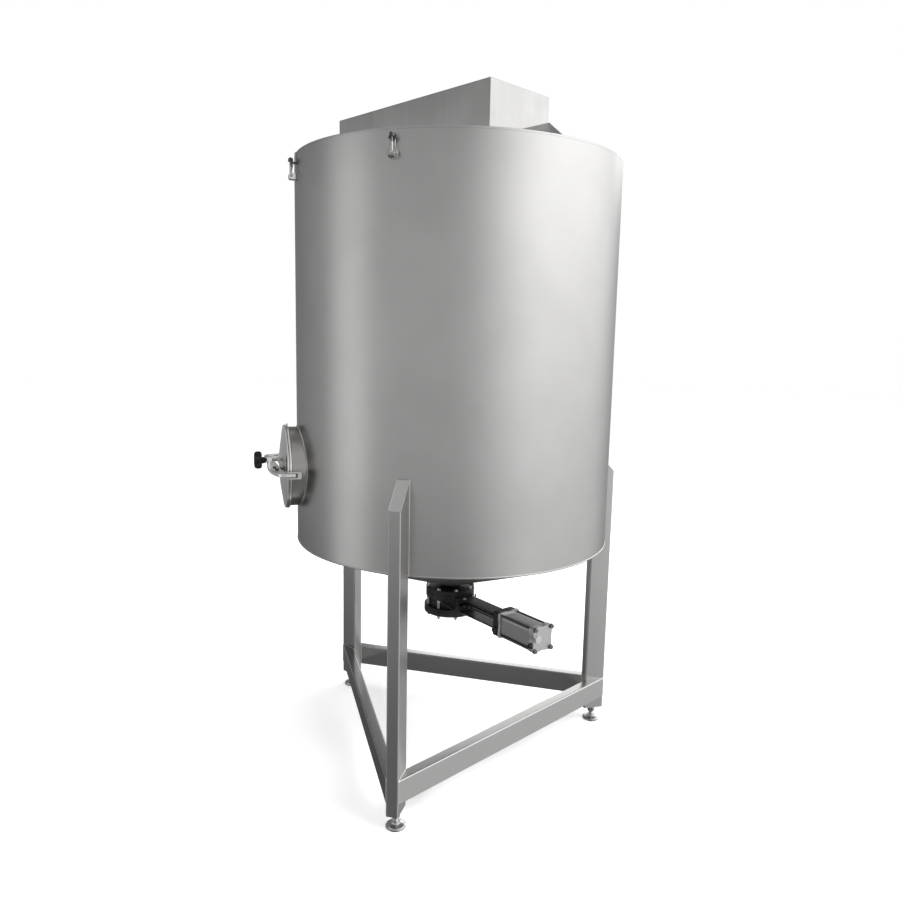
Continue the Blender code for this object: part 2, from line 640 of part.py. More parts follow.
def build_yoke(gate_frame):
    """Two flat plates, above and below the rod, that carry the cylinder from the gate chest."""
    for name, side in (("yoke_top", 1), ("yoke_bottom", -1)):
        low, high = sorted((side * YOKE_HALF_HEIGHT, side * (YOKE_HALF_HEIGHT - YOKE_PLATE)))
        plate = box_mesh(name, (CHEST_END + GAP, -YOKE_HALF_WIDTH, low), (YOKE_END, YOKE_HALF_WIDTH, high))
        node(name, plate, CAST_BLACK, gate_frame)


def square_mesh(name, half, corner, start, end, steps=4):
    """A square block with rounded corners, between two places along x."""
    middle = half - corner
    outline = []
    for quarter in range(4):
        turn = math.radians(90 * quarter + 45)
        centre = (math.copysign(middle, math.cos(turn)), math.copysign(middle, math.sin(turn)))
        for x, y in arc(corner, 90 * quarter, 90 * quarter + 90, steps):
            outline.append((centre[0] + x, centre[1] + y))
    mesh = outline_mesh(name, outline, end - start)
    mesh.transform(Matrix.Translation(((start + end) / 2, 0, 0)) @ Matrix.Rotation(math.pi / 2, 4, "Y"))
    return mesh


def build_cylinder(gate_frame):
    """Mounting plate, front cap, square barrel and end cap, with the rod's way through them."""
    plate_end = YOKE_END + GAP + PLATE_THICKNESS
    cap_end = plate_end + GAP + FRONT_CAP_LENGTH
    last_cap = CYLINDER_END - END_CAP_LENGTH
    stretches = {
        "cylinder_plate": (PLATE_HALF, CAP_CORNER, YOKE_END + GAP, plate_end, CAST_BLACK),
        "cylinder_front_cap": (FRONT_CAP_HALF, CAP_CORNER, plate_end + GAP, cap_end, ALUMINIUM),
        "cylinder_barrel": (BARREL_HALF, BARREL_CORNER, cap_end + GAP, last_cap - GAP, ALUMINIUM),
        "cylinder_end_cap": (CAP_HALF, CAP_CORNER, last_cap, CYLINDER_END, ALUMINIUM),
    }
    pieces = {}
    for name, (half, corner, start, end, finish) in stretches.items():
        pieces[name] = node(name, square_mesh(name, half, corner, start, end), finish, gate_frame)
    room = ROD_RADIUS + ROD_CLEARANCE
    bores = {"cylinder_plate": room, "cylinder_front_cap": room, "cylinder_barrel": BARREL_BORE}
    for name, radius in bores.items():
        bore = rod_mesh(f"{name}_bore", radius, YOKE_END - PLATE_THICKNESS, CYLINDER_END, "X", 32)
        boolean(pieces[name], f"{name}_bore", bore, gate_frame)


def build():
    axis = empty("tank_axis", None, (AXIS_X, AXIS_Y, 0))
    manway = empty("manway_frame", axis, (0, 0, MANWAY_HEIGHT), MANWAY_AZIMUTH)
    hood_frame = empty("hood_frame", axis, (0, 0, 0), HOOD_AZIMUTH)
    valve = empty("valve_frame", axis, (0, 0, 0), VALVE_AZIMUTH)
    gate_frame = empty("gate_axis", valve, (0, 0, GATE_HEIGHT))
    build_body(axis, manway)
    build_covers(hood_frame)
    build_hood(hood_frame)
    build_deflector(hood_frame)
    for name, azimuth in LEG_AZIMUTHS.items():
        build_leg(name, azimuth, axis)
    for name, azimuth in RAIL_AZIMUTHS.items():
        build_rail(name, azimuth, axis)
    build_manway(manway)
    for number, azimuth in enumerate(LATCH_AZIMUTHS, 1):
        build_latch(number, azimuth, axis)
    build_valve_body(valve)
    build_gate(gate_frame)
    build_yoke(gate_frame)
    build_cylinder(gate_frame)


clear_scene()
TANK = bpy.data.collections.new("mixing_tank")
CUTTERS = bpy.data.collections.new("cutters")
for group in (TANK, CUTTERS):
    bpy.context.scene.collection.children.link(group)
STAINLESS = material("satin_stainless", (0.56, 0.56, 0.55), 0.38, 1.0)
BRUSHED = material("brushed_sheet", (0.50, 0.50, 0.50), 0.30, 1.0)
POLISHED = material("polished_stainless", (0.66, 0.66, 0.66), 0.20, 1.0)
CAST_BLACK = material("black_enamel", (0.02, 0.021, 0.023), 0.42, 0.0)
BLACK_PLASTIC = material("black_plastic", (0.012, 0.012, 0.013), 0.45, 0.0)
ALUMINIUM = material("anodised_aluminium", (0.52, 0.53, 0.52), 0.42, 1.0)
build()
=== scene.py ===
import math

import bpy
import numpy as np
from mathutils import Matrix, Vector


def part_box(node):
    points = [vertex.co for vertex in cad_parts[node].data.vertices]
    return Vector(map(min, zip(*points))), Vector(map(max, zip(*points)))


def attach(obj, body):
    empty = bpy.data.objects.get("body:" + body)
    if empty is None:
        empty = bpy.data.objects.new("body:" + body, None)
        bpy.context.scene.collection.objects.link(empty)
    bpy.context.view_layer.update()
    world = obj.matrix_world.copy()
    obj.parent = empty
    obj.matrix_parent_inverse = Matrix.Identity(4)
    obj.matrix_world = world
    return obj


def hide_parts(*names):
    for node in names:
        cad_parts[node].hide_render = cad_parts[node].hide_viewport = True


# Mixing tank on three legs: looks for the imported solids, in metres, +Z up, floor at z = 0.
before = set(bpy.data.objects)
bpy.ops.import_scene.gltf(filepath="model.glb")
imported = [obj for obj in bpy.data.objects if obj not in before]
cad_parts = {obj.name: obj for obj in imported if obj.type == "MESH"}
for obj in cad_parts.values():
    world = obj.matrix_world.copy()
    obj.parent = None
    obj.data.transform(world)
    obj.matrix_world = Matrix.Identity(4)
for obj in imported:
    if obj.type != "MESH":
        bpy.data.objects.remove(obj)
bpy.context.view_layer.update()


# Places

coneLow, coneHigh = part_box("bottom_cone")
axisX, axisY = (coneLow[0] + coneHigh[0]) / 2, (coneLow[1] + coneHigh[1]) / 2
azimuths = {"manway": 212, "hood": 150, "valve": -37}
legAzimuths = {"front": -90, "right": 30, "left": 150}
railAzimuths = {"right": -30, "back": 90, "left": 210}
latchAzimuths = {1: -93.9, 2: -146.1, 3: 33.9, 4: 86.1}
gateHeight = 0.690
manwayHeight = 1.337

# alongOut turns an outline's x and y to the frame's y and z, and its thickness to x;
# alongSide turns them to z and x, and the thickness to y
alongOut = np.array([[0, 0, 1, 0], [1, 0, 0, 0], [0, 1, 0, 0], [0, 0, 0, 1.0]])
alongSide = np.array([[0, 1, 0, 0], [0, 0, 1, 0], [1, 0, 0, 0], [0, 0, 0, 1.0]])


def frameAt(azimuth, height=0.0):
    # x runs outward at the azimuth, y sideways, z up, from a point on the tank's axis
    turn = math.radians(azimuth)
    across, along = math.sin(turn), math.cos(turn)
    return np.array([[along, -across, 0, axisX], [across, along, 0, axisY],
                     [0, 0, 1, height], [0, 0, 0, 1.0]])


def shift(x, y, z):
    place = np.eye(4)
    place[:3, 3] = (x, y, z)
    return place


def spin(degrees):
    # a turn about z
    turn = math.radians(degrees)
    place = np.eye(4)
    place[:2, :2] = [[math.cos(turn), -math.sin(turn)], [math.sin(turn), math.cos(turn)]]
    return place


def moved(points, place):
    return points @ place[:3, :3].T + place[:3, 3]


def localBox(nodeName, azimuth):
    # a solid's lowest and highest corners in the frame of an azimuth
    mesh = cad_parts[nodeName].data
    points = np.empty(len(mesh.vertices) * 3)
    mesh.vertices.foreach_get("co", points)
    local = moved(points.reshape(-1, 3), np.linalg.inv(frameAt(azimuth)))
    return local.min(axis=0), local.max(axis=0)


# Shapes

class Shape:
    # points, the quads between them, and polygons with more corners
    def __init__(self, points, quads, polygons=()):
        self.points = np.asarray(points, float).reshape(-1, 3)
        self.quads = np.asarray(quads, int).reshape(-1, 4)
        self.polygons = [np.asarray(p, int) for p in polygons]

    def at(self, place):
        return Shape(moved(self.points, place), self.quads, self.polygons)

    def outward(self):
        # the sum of the signed volumes under the faces is positive when they point outward
        p = self.points - self.points.mean(axis=0)
        a, b, c, d = (p[self.quads[:, i]] for i in range(4))
        total = np.einsum("ij,ij->", a, np.cross(b, c)) + np.einsum("ij,ij->", a, np.cross(c, d))
        for polygon in self.polygons:
            fan = p[polygon]
            total += np.einsum("j,ij->", fan[0], np.cross(fan[1:-1], fan[2:]))
        if total < 0:
            return Shape(self.points, self.quads[:, ::-1], [q[::-1] for q in self.polygons])
        return self


def joined(shapes):
    points, quads, polygons, start = [], [], [], 0
    for shape in shapes:
        points.append(shape.points)
        quads.append(shape.quads + start)
        polygons += [p + start for p in shape.polygons]
        start += len(shape.points)
    return Shape(np.concatenate(points), np.concatenate(quads), polygons)


def loft(rings, loop=False):
    # rings of points, one row each, joined by quads; the first and last are capped, or joined
    rings = np.asarray(rings, float)
    rows, around = rings.shape[:2]
    index = np.arange(rows * around).reshape(rows, around)
    here, ahead = (index, np.roll(index, -1, axis=0)) if loop else (index[:-1], index[1:])
    quads = np.stack([here, np.roll(here, -1, axis=1), np.roll(ahead, -1, axis=1), ahead], axis=-1)
    caps = [] if loop else [index[0][::-1], index[-1]]
    return Shape(rings, quads, caps).outward()


def circle(radius, steps=48):
    turn = np.linspace(0, 2 * np.pi, steps, endpoint=False)
    return np.stack([radius * np.cos(turn), radius * np.sin(turn)], axis=1)


def arc(radius, start, end, steps, centre=(0, 0)):
    turn = np.radians(np.linspace(start, end, steps + 1))
    return np.stack([centre[0] + radius * np.cos(turn), centre[1] + radius * np.sin(turn)], axis=1)


def roundedBox(halfX, halfY, corner, steps=5):
    # four quarter circles, counter-clockwise
    x, y = halfX - corner, halfY - corner
    quarters = [(x, y, 0), (-x, y, 90), (-x, -y, 180), (x, -y, 270)]
    return np.concatenate([arc(corner, a, a + 90, steps, (cx, cy)) for cx, cy, a in quarters])


def eased(points, size, steps=3, loop=True):
    # each corner gives way to a parabola that starts and ends up to size away from it
    points = np.asarray(points, float)
    before, after = np.roll(points, 1, axis=0) - points, np.roll(points, -1, axis=0) - points
    longBefore, longAfter = (np.linalg.norm(v, axis=1, keepdims=True) for v in (before, after))
    room = np.minimum(np.broadcast_to(np.reshape(size, (-1, 1)), longBefore.shape),
                      0.45 * np.minimum(longBefore, longAfter))
    start, end = points + before / longBefore * room, points + after / longAfter * room
    t = np.linspace(0, 1, steps + 1)[None, :, None]
    curve = (1 - t) ** 2 * start[:, None] + 2 * t * (1 - t) * points[:, None] + t ** 2 * end[:, None]
    if loop:
        return curve.reshape(-1, points.shape[1])
    return np.concatenate([points[:1], curve[1:-1].reshape(-1, points.shape[1]), points[-1:]])


def inset(outline, distance):
    # every point of a counter-clockwise outline moves inward along its two edges' mean normal
    ahead = np.roll(outline, -1, axis=0) - outline
    ahead /= np.maximum(np.linalg.norm(ahead, axis=1, keepdims=True), 1e-9)
    normal = np.stack([-ahead[:, 1], ahead[:, 0]], axis=1)
    mean = normal + np.roll(normal, 1, axis=0)
    mean /= np.maximum(np.linalg.norm(mean, axis=1, keepdims=True), 1e-9)
    along = np.maximum((mean * normal).sum(axis=1, keepdims=True), 0.4)
    return outline + distance * mean / along


def counterClockwise(outline):
    # the sum of the cross products round it is positive
    x, y = outline[:, 0], outline[:, 1]
    return outline if (x * np.roll(y, -1) - np.roll(x, -1) * y).sum() > 0 else outline[::-1]


def slab(outline, low, high, edge=0.0, steps=3, foot=1.0):
    # an outline carried up in z, both rims rounded by a quarter circle of radius edge, the lower
    # one by foot times as much
    turn = np.linspace(0, np.pi / 2, steps + 1 if edge else 1)
    ins, rise = edge * (1 - np.sin(turn)), edge * (1 - np.cos(turn))
    if not edge:
        ins, rise = [0.0], [0.0]
    levels = [(i * foot, low + r * foot) for i, r in zip(ins, rise)]
    levels += [(i, high - r) for i, r in zip(ins[::-1], rise[::-1])]
    rings = []
    for distance, z in levels:
        flat = inset(outline, distance)
        rings.append(np.column_stack([flat, np.full(len(flat), z)]))
    return loft(rings)


def lathe(profile, steps=96, loop=True):
    # a profile of (radius, height) turned about z; a loop is a ring, else both ends are capped
    profile = np.asarray(profile, float)
    turn = np.linspace(0, 2 * np.pi, steps, endpoint=False)
    radius, height = profile[:, :1], np.repeat(profile[:, 1:], steps, axis=1)
    return loft(np.stack([radius * np.cos(turn), radius * np.sin(turn), height], axis=-1), loop)


def rod(radius, low, high, edge=0.0006, steps=32):
    # a round bar along z with rounded rims
    return slab(circle(radius, steps), low, high, edge)


def sweep(path, outline, up=(0, 0, 1), loop=False, scale=None):
    # an outline carried along a path: its x lies across the path and up, its y towards up
    path = np.asarray(path, float)
    if loop:
        run = np.roll(path, -1, axis=0) - np.roll(path, 1, axis=0)
    else:
        run = np.gradient(path, axis=0)
    run /= np.linalg.norm(run, axis=1, keepdims=True)
    across = np.cross(run, np.broadcast_to(up, path.shape))
    across /= np.linalg.norm(across, axis=1, keepdims=True)
    lift = np.cross(across, run)
    size = np.ones(len(path)) if scale is None else scale
    ring = outline[None, :, :] * size[:, None, None]
    return loft(path[:, None] + across[:, None] * ring[..., :1] + lift[:, None] * ring[..., 1:], loop)


def resampled(path, spacing, loop=False):
    # the same line with points an equal distance apart, and how far along it each one is
    path = np.asarray(path, float)
    if loop:
        path = np.concatenate([path, path[:1]])
    reach = np.concatenate([[0], np.cumsum(np.linalg.norm(np.diff(path, axis=0), axis=1))])
    count = max(int(reach[-1] / spacing), 4)
    along = np.linspace(0, reach[-1], count + 1)[:-1] if loop else np.linspace(0, reach[-1], count + 1)
    return np.stack([np.interp(along, reach, path[:, i]) for i in range(3)], axis=1), along


def weld(path, radius=0.003, ripple=0.006, up=(0, 0, 1), loop=False, rows=4):
    # a bead whose radius swells by a sixth at each ripple, |sin| of the length along it
    line, along = resampled(path, ripple / rows, loop)
    swell = 0.92 + 0.16 * np.abs(np.sin(np.pi * along / ripple))
    return sweep(line, circle(radius, 8), up, loop, swell)


def thread(radius, low, high, pitch=0.0018, depth=0.12, steps=14):
    # a bar whose radius is a triangle wave of the turn less the height over the pitch
    rows = max(int((high - low) / pitch * 4), 4)
    turn = np.linspace(0, 2 * np.pi, steps, endpoint=False)[None]
    height = np.linspace(low, high, rows + 1)[:, None]
    phase = (turn / (2 * np.pi) - (height - low) / pitch) % 1
    wide = radius * (1 - depth * np.abs(2 * phase - 1))
    wide[[0, -1]] *= 1 - depth
    z = np.broadcast_to(height, wide.shape)
    return loft(np.stack([wide * np.cos(turn), wide * np.sin(turn), z], axis=-1))


def hexagon(corner, low, high, double=True, steps=36):
    # a hexagon whose corners fall away with a 30 degree cone, as on turned nuts and heads
    turn = np.linspace(0, 2 * np.pi, steps, endpoint=False)
    flat = corner * math.cos(math.pi / 6)
    wide = flat / np.cos((turn + math.pi / 6) % (math.pi / 3) - math.pi / 6)
    drop = (wide - flat * 0.97) * math.tan(math.pi / 6)
    ring = np.stack([np.cos(turn), np.sin(turn)], axis=1)
    inner, outer = ring * flat * 0.96, ring * wide[:, None]
    level = np.full(steps, low)
    rows = [(inner, level), (outer, level + drop)] if double else [(outer, level)]
    rows += [(outer, np.full(steps, high) - drop), (inner, np.full(steps, high))]
    return loft([np.column_stack([flatRing, z]) for flatRing, z in rows])


def washer(inner, outer, low, high):
    profile = [(inner, low), (outer, low), (outer, high), (inner, high)]
    return lathe(eased(profile, 0.0004, 2), 32)


def screwHead(corner, height):
    # a washer with a hexagon head on it, along z from 0
    thick = height * 0.16
    return [washer(corner * 0.4, corner * 1.12, 0, thick), hexagon(corner, thick, thick + height)]


def placed(shapes, *places):
    # the same shapes at each place
    return [shape.at(place) for place in places for shape in shapes]


def makePiece(name, shapes, body, finish, stands=(), sharp=32, modifiers=None):
    whole = joined(shapes)
    mesh = bpy.data.meshes.new(name)
    faces = whole.quads.tolist() + [p.tolist() for p in whole.polygons]
    mesh.from_pydata(whole.points.tolist(), [], faces)
    mesh.validate()
    piece = bpy.data.objects.new(name, mesh)
    bpy.context.scene.collection.objects.link(piece)
    for kind, settings in (modifiers or {}).items():
        step = piece.modifiers.new(kind.lower(), kind)
        for key, value in settings.items():
            setattr(step, key, value)
    if modifiers:  # a thick sheet's rim is crisp only if it is there when the edges are marked
        shown = piece.evaluated_get(bpy.context.evaluated_depsgraph_get())
        piece.data = bpy.data.meshes.new_from_object(shown)
        piece.modifiers.clear()
    piece.data.shade_smooth()
    piece.data.set_sharp_from_angle(angle=math.radians(sharp))
    piece.data.materials.append(finish)
    # normals weighted by area keep the flat faces flat beside their rounded rims
    even = piece.modifiers.new("even", "WEIGHTED_NORMAL")
    even.keep_sharp = True
    shown = piece.evaluated_get(bpy.context.evaluated_depsgraph_get())
    piece.data = bpy.data.meshes.new_from_object(shown)
    piece.modifiers.clear()
    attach(piece, body)
    if stands:
        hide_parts(*stands)
    return piece


# Shader maths

class Signal:
    # a shader socket; sums with it add Math nodes
    def __init__(self, graph, socket):
        self.graph, self.socket = graph, socket

    def __add__(self, other):
        return self.graph.maths("ADD", self, other)

    __radd__ = __add__

    def __mul__(self, other):
        return self.graph.maths("MULTIPLY", self, other)

    def __sub__(self, other):
        return self.graph.maths("SUBTRACT", self, other)

    def __rsub__(self, other):
        return self.graph.maths("SUBTRACT", other, self)

    def __abs__(self):
        return self.graph.maths("ABSOLUTE", self)


class Graph:
    def __init__(self, tree):
        self.tree = tree

    def feed(self, socket, value):
        # a link from a signal, or a value of the socket's own
        if isinstance(value, Signal):
            self.tree.links.new(value.socket, socket)
        else:
            socket.default_value = value

    def node(self, kind, settings=None, values=None, output=0):
        # every node but Math: its type, its settings, then its sockets' values or links
        made = self.tree.nodes.new(kind)
        for key, value in (settings or {}).items():
            setattr(made, key, value)
        for key, value in (values or {}).items():
            self.feed(made.inputs[key] if isinstance(key, int) else next(
                s for s in made.inputs if s.enabled and key in (s.name, s.identifier)), value)
        found = [s for s in made.outputs if s.enabled and output in (0, s.name)]
        return Signal(self, found[0]) if found else None

    def maths(self, operation, *values):
        made = self.tree.nodes.new("ShaderNodeMath")
        made.operation = operation
        for socket, value in zip(made.inputs, values):
            self.feed(socket, value)
        return Signal(self, made.outputs[0])

    def band(self, value, start, end):
        # 0 before start, 1 after end, eased between them
        return self.node("ShaderNodeMapRange", {"interpolation_type": "SMOOTHSTEP"},
                         {"Value": value, "From Min": start, "From Max": end})

    def mixed(self, factor, first, second):
        return self.node("ShaderNodeMix", {"data_type": "RGBA"},
                         {"Factor": factor, "A": first, "B": second})

    def noise(self, vector, scale, detail, roughness):
        return self.node("ShaderNodeTexNoise", {"noise_dimensions": "3D"},
                         {"Vector": vector, "Scale": scale, "Detail": detail, "Roughness": roughness})

    def stretched(self, vector, factors):
        return self.node("ShaderNodeVectorMath", {"operation": "MULTIPLY"},
                         {"Vector": vector, "Vector_001": factors})


def newFinish(name):
    material = bpy.data.materials.new(name)
    material.use_nodes = True
    material.node_tree.nodes.clear()
    return material, Graph(material.node_tree)


def grey(level, warm=0.0):
    return (level * (1 + warm), level, level * (1 - warm), 1)


def metal(name, level, roughness, grain, grainDepth=0.00004, cloud=0.04, smear=0.06, warm=0.008,
          speck=0.0, edge=1.0):
    # metal with fine grain lines stretched by grain, soft clouds in its colour, and a gloss that
    # changes with the lines and old wipe marks; edge dims what is seen edge-on
    material, graph = newFinish(name)
    place = graph.node("ShaderNodeTexCoord", output="Object")
    lines = graph.noise(graph.stretched(place, grain), 1.0, 3.0, 0.6)
    clouds = graph.noise(place, 2.3, 3.0, 0.55)
    wipes = graph.noise(graph.stretched(place, (7.0, 7.0, 1.7)), 1.0, 4.0, 0.6)
    shade = graph.band(clouds + (lines - 0.5) * 0.22, 0.3, 0.7)
    colour = graph.mixed(shade, grey(level * (1 - cloud), warm), grey(level * (1 + cloud), warm))
    if speck:
        marks = graph.band(graph.noise(place, 55.0, 5.0, 0.7), 0.60, 0.72)
        colour = graph.mixed(marks * speck, colour, grey(level * 0.55, 0.02))
    gloss = roughness + (wipes - 0.5) * smear + (lines - 0.5) * smear
    bump = graph.node("ShaderNodeBump", {}, {"Height": lines, "Strength": 0.35, "Distance": grainDepth})
    shader = graph.node("ShaderNodeBsdfPrincipled", {}, {
        "Base Color": colour, "Metallic": 1.0, "Roughness": gloss, "Normal": bump,
        "Specular Tint": grey(edge)})
    graph.node("ShaderNodeOutputMaterial", {}, {"Surface": shader})
    return material


def coated(name, colour, roughness, pimple, depth, wear=0.0, worn=(0.2, 0.2, 0.2, 1), sheen=0.5,
           dust=0.15):
    # paint, plastic or rubber with a fine bumpy skin, dust on what faces up, and worn spots
    material, graph = newFinish(name)
    place = graph.node("ShaderNodeTexCoord", output="Object")
    skin = graph.noise(place, pimple, 3.0, 0.6)
    clouds = graph.noise(place, 9.0, 4.0, 0.6)
    facing = graph.node("ShaderNodeNewGeometry", output="Normal")
    upward = graph.node("ShaderNodeSeparateXYZ", {}, {"Vector": facing}, "Z")
    dusty = graph.band(upward, 0.2, 1.0) * graph.band(clouds, 0.3, 0.75) * dust
    spots = graph.band(graph.noise(place, 38.0, 5.0, 0.65), 0.62, 0.70) * wear
    lighter = tuple(c * 1.5 + 0.01 for c in colour[:3]) + (1,)
    base = graph.mixed(graph.band(clouds, 0.35, 0.7), colour, lighter)
    base = graph.mixed(dusty, base, (0.30, 0.29, 0.27, 1))
    base = graph.mixed(spots, base, worn)
    bump = graph.node("ShaderNodeBump", {}, {"Height": skin, "Strength": 0.5, "Distance": depth})
    shader = graph.node("ShaderNodeBsdfPrincipled", {}, {
        "Base Color": base, "Roughness": roughness + (clouds - 0.5) * 0.18 + dusty * 0.4,
        "Specular IOR Level": sheen, "Normal": bump})
    graph.node("ShaderNodeOutputMaterial", {}, {"Surface": shader})
    return material


finishes = {
    "satin": metal("satin_stainless", 0.60, 0.30, (5.0, 5.0, 420.0), 0.00001, cloud=0.045, smear=0.04,
                   edge=0.60),
    "legs": metal("satin_section", 0.56, 0.28, (300.0, 300.0, 300.0), 0.00001, cloud=0.03, smear=0.02),
    # the darker section steel is satin_section darkened: painted shade for the left leg and the left and
    # back rails, which stand in the tank's shadow
    "paintedShadeSection": metal("painted_shade_section", 0.42, 0.20, (300.0, 300.0, 300.0), 0.00001, cloud=0.05, smear=0.02),
    "brushed": metal("brushed_sheet", 0.52, 0.30, (26.0, 26.0, 1.2), 0.00006, cloud=0.12, smear=0.10),
    # the brushed sheet darkened: painted shade for the hood's deflector
    "paintedShadeSheet": metal("painted_shade_sheet", 0.24, 0.42, (26.0, 26.0, 1.2), 0.00006, cloud=0.08),
    "neck": metal("neck_sheet", 0.36, 0.22, (120.0, 120.0, 120.0), 0.00001, cloud=0.05, warm=0.02),
    "mirror": metal("mirror_stainless", 0.86, 0.14, (240.0, 240.0, 60.0), 0.00001, cloud=0.03),
    "turned": metal("turned_fitting", 0.80, 0.30, (240.0, 240.0, 240.0), 0.00001, cloud=0.03),
    "polished": metal("polished_stainless", 0.66, 0.17, (240.0, 240.0, 60.0), cloud=0.03),
    "weld": metal("weld_bead", 0.68, 0.30, (160.0, 160.0, 160.0), 0.00008, cloud=0.12, warm=0.03),
    "bolts": metal("zinc_bolts", 0.60, 0.26, (300.0, 300.0, 300.0), cloud=0.08, speck=0.5),
    "darkNuts": metal("dark_nuts", 0.28, 0.22, (200.0, 200.0, 200.0), cloud=0.10, speck=0.3),
    "darkSteel": metal("dark_steel", 0.13, 0.34, (200.0, 200.0, 200.0), cloud=0.10, speck=0.3),
    "barrel": metal("drawn_barrel", 0.48, 0.30, (90.0, 90.0, 90.0), 0.000005, cloud=0.05, smear=0.05),
    "aluminium": metal("anodised_aluminium", 0.60, 0.46, (90.0, 90.0, 90.0), cloud=0.03, smear=0.05),
    "enamel": coated("black_enamel", (0.0070, 0.0075, 0.0085, 1), 0.42, 420.0, 0.0002, 0.35,
                     grey(0.09), 0.22, 0.05),
    "plastic": coated("black_plastic", (0.0035, 0.0038, 0.0045, 1), 0.40, 900.0, 0.00006, sheen=0.28,
                      dust=0.03),
    "rubber": coated("black_rubber", grey(0.018), 0.62, 600.0, 0.0001),
}
print("finishes made")


# Camera, light and floor

cameraSettings = {
    "place": (0.92423, -3.42471, 1.91801),
    "right": (0.96354, 0.26689, 0.01909),
    "up": (-0.05764, 0.13735, 0.98884),
    "forward": (-0.26129, 0.95389, -0.14772),
    "lens": 31.354,
}
view = bpy.data.cameras.new("view")
view.lens, view.sensor_width = cameraSettings["lens"], 36.0
camera = bpy.data.objects.new("view", view)
turned = np.eye(4)
turned[:3, 0], turned[:3, 1] = cameraSettings["right"], cameraSettings["up"]
turned[:3, 2] = -np.array(cameraSettings["forward"])
turned[:3, 3] = np.array(cameraSettings["place"]) + (axisX, axisY, 0)
camera.matrix_world = Matrix(turned.tolist())
bpy.context.scene.collection.objects.link(camera)
bpy.context.scene.camera = camera
bpy.context.scene.view_settings.view_transform = "Standard"

# The studio seen in the steel: soft upright panels by compass direction, (middle, half width,
# soft edge, brightness), over an even grey that dims towards the floor, and a ceiling
studio = {
    "even": 0.36,
    "right": (14, 57, 62, 1.16),
    "left": (-152, 14, 20, 0.42),
    "front": (-100, 62, 60, 0.16),
    "window": (84, 25, 6, 2.3),
    "floor": 0.26,
    "ceiling": 0.62,
}
world = bpy.data.worlds.new("studio")
bpy.context.scene.world = world
world.use_nodes = True
world.node_tree.nodes.clear()
sky = Graph(world.node_tree)
direction = sky.node("ShaderNodeTexCoord", output="Generated")
split = world.node_tree.nodes.new("ShaderNodeSeparateXYZ")
world.node_tree.links.new(direction.socket, split.inputs[0])
east, north, height = (Signal(sky, s) for s in split.outputs)
compass = sky.maths("ARCTAN2", north, east) * (180 / math.pi)


def panel(name):
    middle, halfWidth, soft, level = studio[name]
    away = abs(sky.maths("WRAP", compass - middle, 180.0, -180.0))
    return (1 - sky.band(away, halfWidth - soft / 2, halfWidth + soft / 2)) * level


# the right panel fades towards the floor, the left one ends at the height of the tank's rim
rightFade = sky.band(height, -0.20, 0.20) * 0.54 + 0.46
leftFade = 1 - sky.band(height, 0.22, 0.27)
highFade = 1 - sky.band(height, 0.20, 0.28) * 0.42
windowFade = sky.band(height, 0.12, 0.26) * (1 - sky.band(height, 0.40, 0.46))
below = sky.band(height, -0.46, -0.12)
overhead = sky.band(height, 0.62, 0.90)
bright = (panel("front") + studio["even"]) * (below * (1 - studio["floor"]) + studio["floor"]) * highFade
bright = bright + panel("right") * (rightFade + (1 - highFade) * 0.85)
bright = bright + panel("left") * leftFade + panel("window") * windowFade
bright = bright * (1 - overhead) + overhead * studio["ceiling"]
glow = sky.node("ShaderNodeBackground", {}, {"Color": (1.0, 1.0, 1.0, 1), "Strength": bright})
sky.node("ShaderNodeOutputWorld", {}, {"Surface": glow})


def stageDisc(name, radius, height, colour, glowing):
    # a flat disc on the floor, or a glowing dome round everything; neither shows in reflections,
    # and the dome lights nothing and throws no shadow
    if glowing:
        turn = np.linspace(0.001, np.pi - 0.001, 40)
        shape = lathe(np.stack([radius * np.sin(turn), -radius * np.cos(turn)], axis=1), 64, False)
    else:
        shape = Shape(np.column_stack([circle(radius, 96), np.full(96, height)]), np.empty((0, 4)),
                      [np.arange(96)])
    material, graph = newFinish(name)
    glow = graph.node("ShaderNodeEmission", {}, {"Color": colour, "Strength": 1.0 if glowing else 0.42})
    if not glowing:
        matt = graph.node("ShaderNodeBsdfDiffuse", {}, {"Color": colour})
        glow = graph.node("ShaderNodeAddShader", {}, {0: matt, 1: glow})
    graph.node("ShaderNodeOutputMaterial", {}, {"Surface": glow})
    mesh = bpy.data.meshes.new(name)
    faces = shape.quads.tolist() + [p.tolist() for p in shape.polygons]
    mesh.from_pydata(shape.points.tolist(), [], faces)
    mesh.materials.append(material)
    item = bpy.data.objects.new(name, mesh)
    bpy.context.scene.collection.objects.link(item)
    item.visible_glossy = False
    if glowing:
        item.visible_diffuse = item.visible_shadow = item.visible_transmission = False


stageDisc("floor", 30.0, 0.0, (0.86, 0.86, 0.86, 1), False)
stageDisc("backdrop", 40.0, 0.0, (1.0, 1.0, 1.0, 1), True)


def softLight(name, azimuth, elevation, distance, size, power):
    # a square area light that looks at the tank's middle
    turn, rise = math.radians(azimuth), math.radians(elevation)
    back = np.array([math.cos(turn) * math.cos(rise), math.sin(turn) * math.cos(rise), math.sin(rise)])
    data = bpy.data.lights.new(name, "AREA")
    data.size, data.energy = size, power
    light = bpy.data.objects.new(name, data)
    across = np.cross((0, 0, 1), back)
    across /= np.linalg.norm(across)
    place = np.eye(4)
    place[:3, 0], place[:3, 1], place[:3, 2] = across, np.cross(back, across), back
    place[:3, 3] = np.array((axisX, axisY, 1.4)) + back * distance
    light.matrix_world = Matrix(place.tolist())
    light.visible_glossy = False
    bpy.context.scene.collection.objects.link(light)


softLight("key", -20, 40, 6.0, 3.0, 260)
softLight("fill", -130, 35, 6.0, 3.0, 120)
softLight("top", 60, 75, 6.0, 4.0, 200)
print("studio made")


# Tank body

shellSizes = {"radius": 0.700, "steps": 256, "wall": 0.005, "hole": 0.1703, "patchHalf": 0.27, "rings": 8,
              "merge": 0.00002}


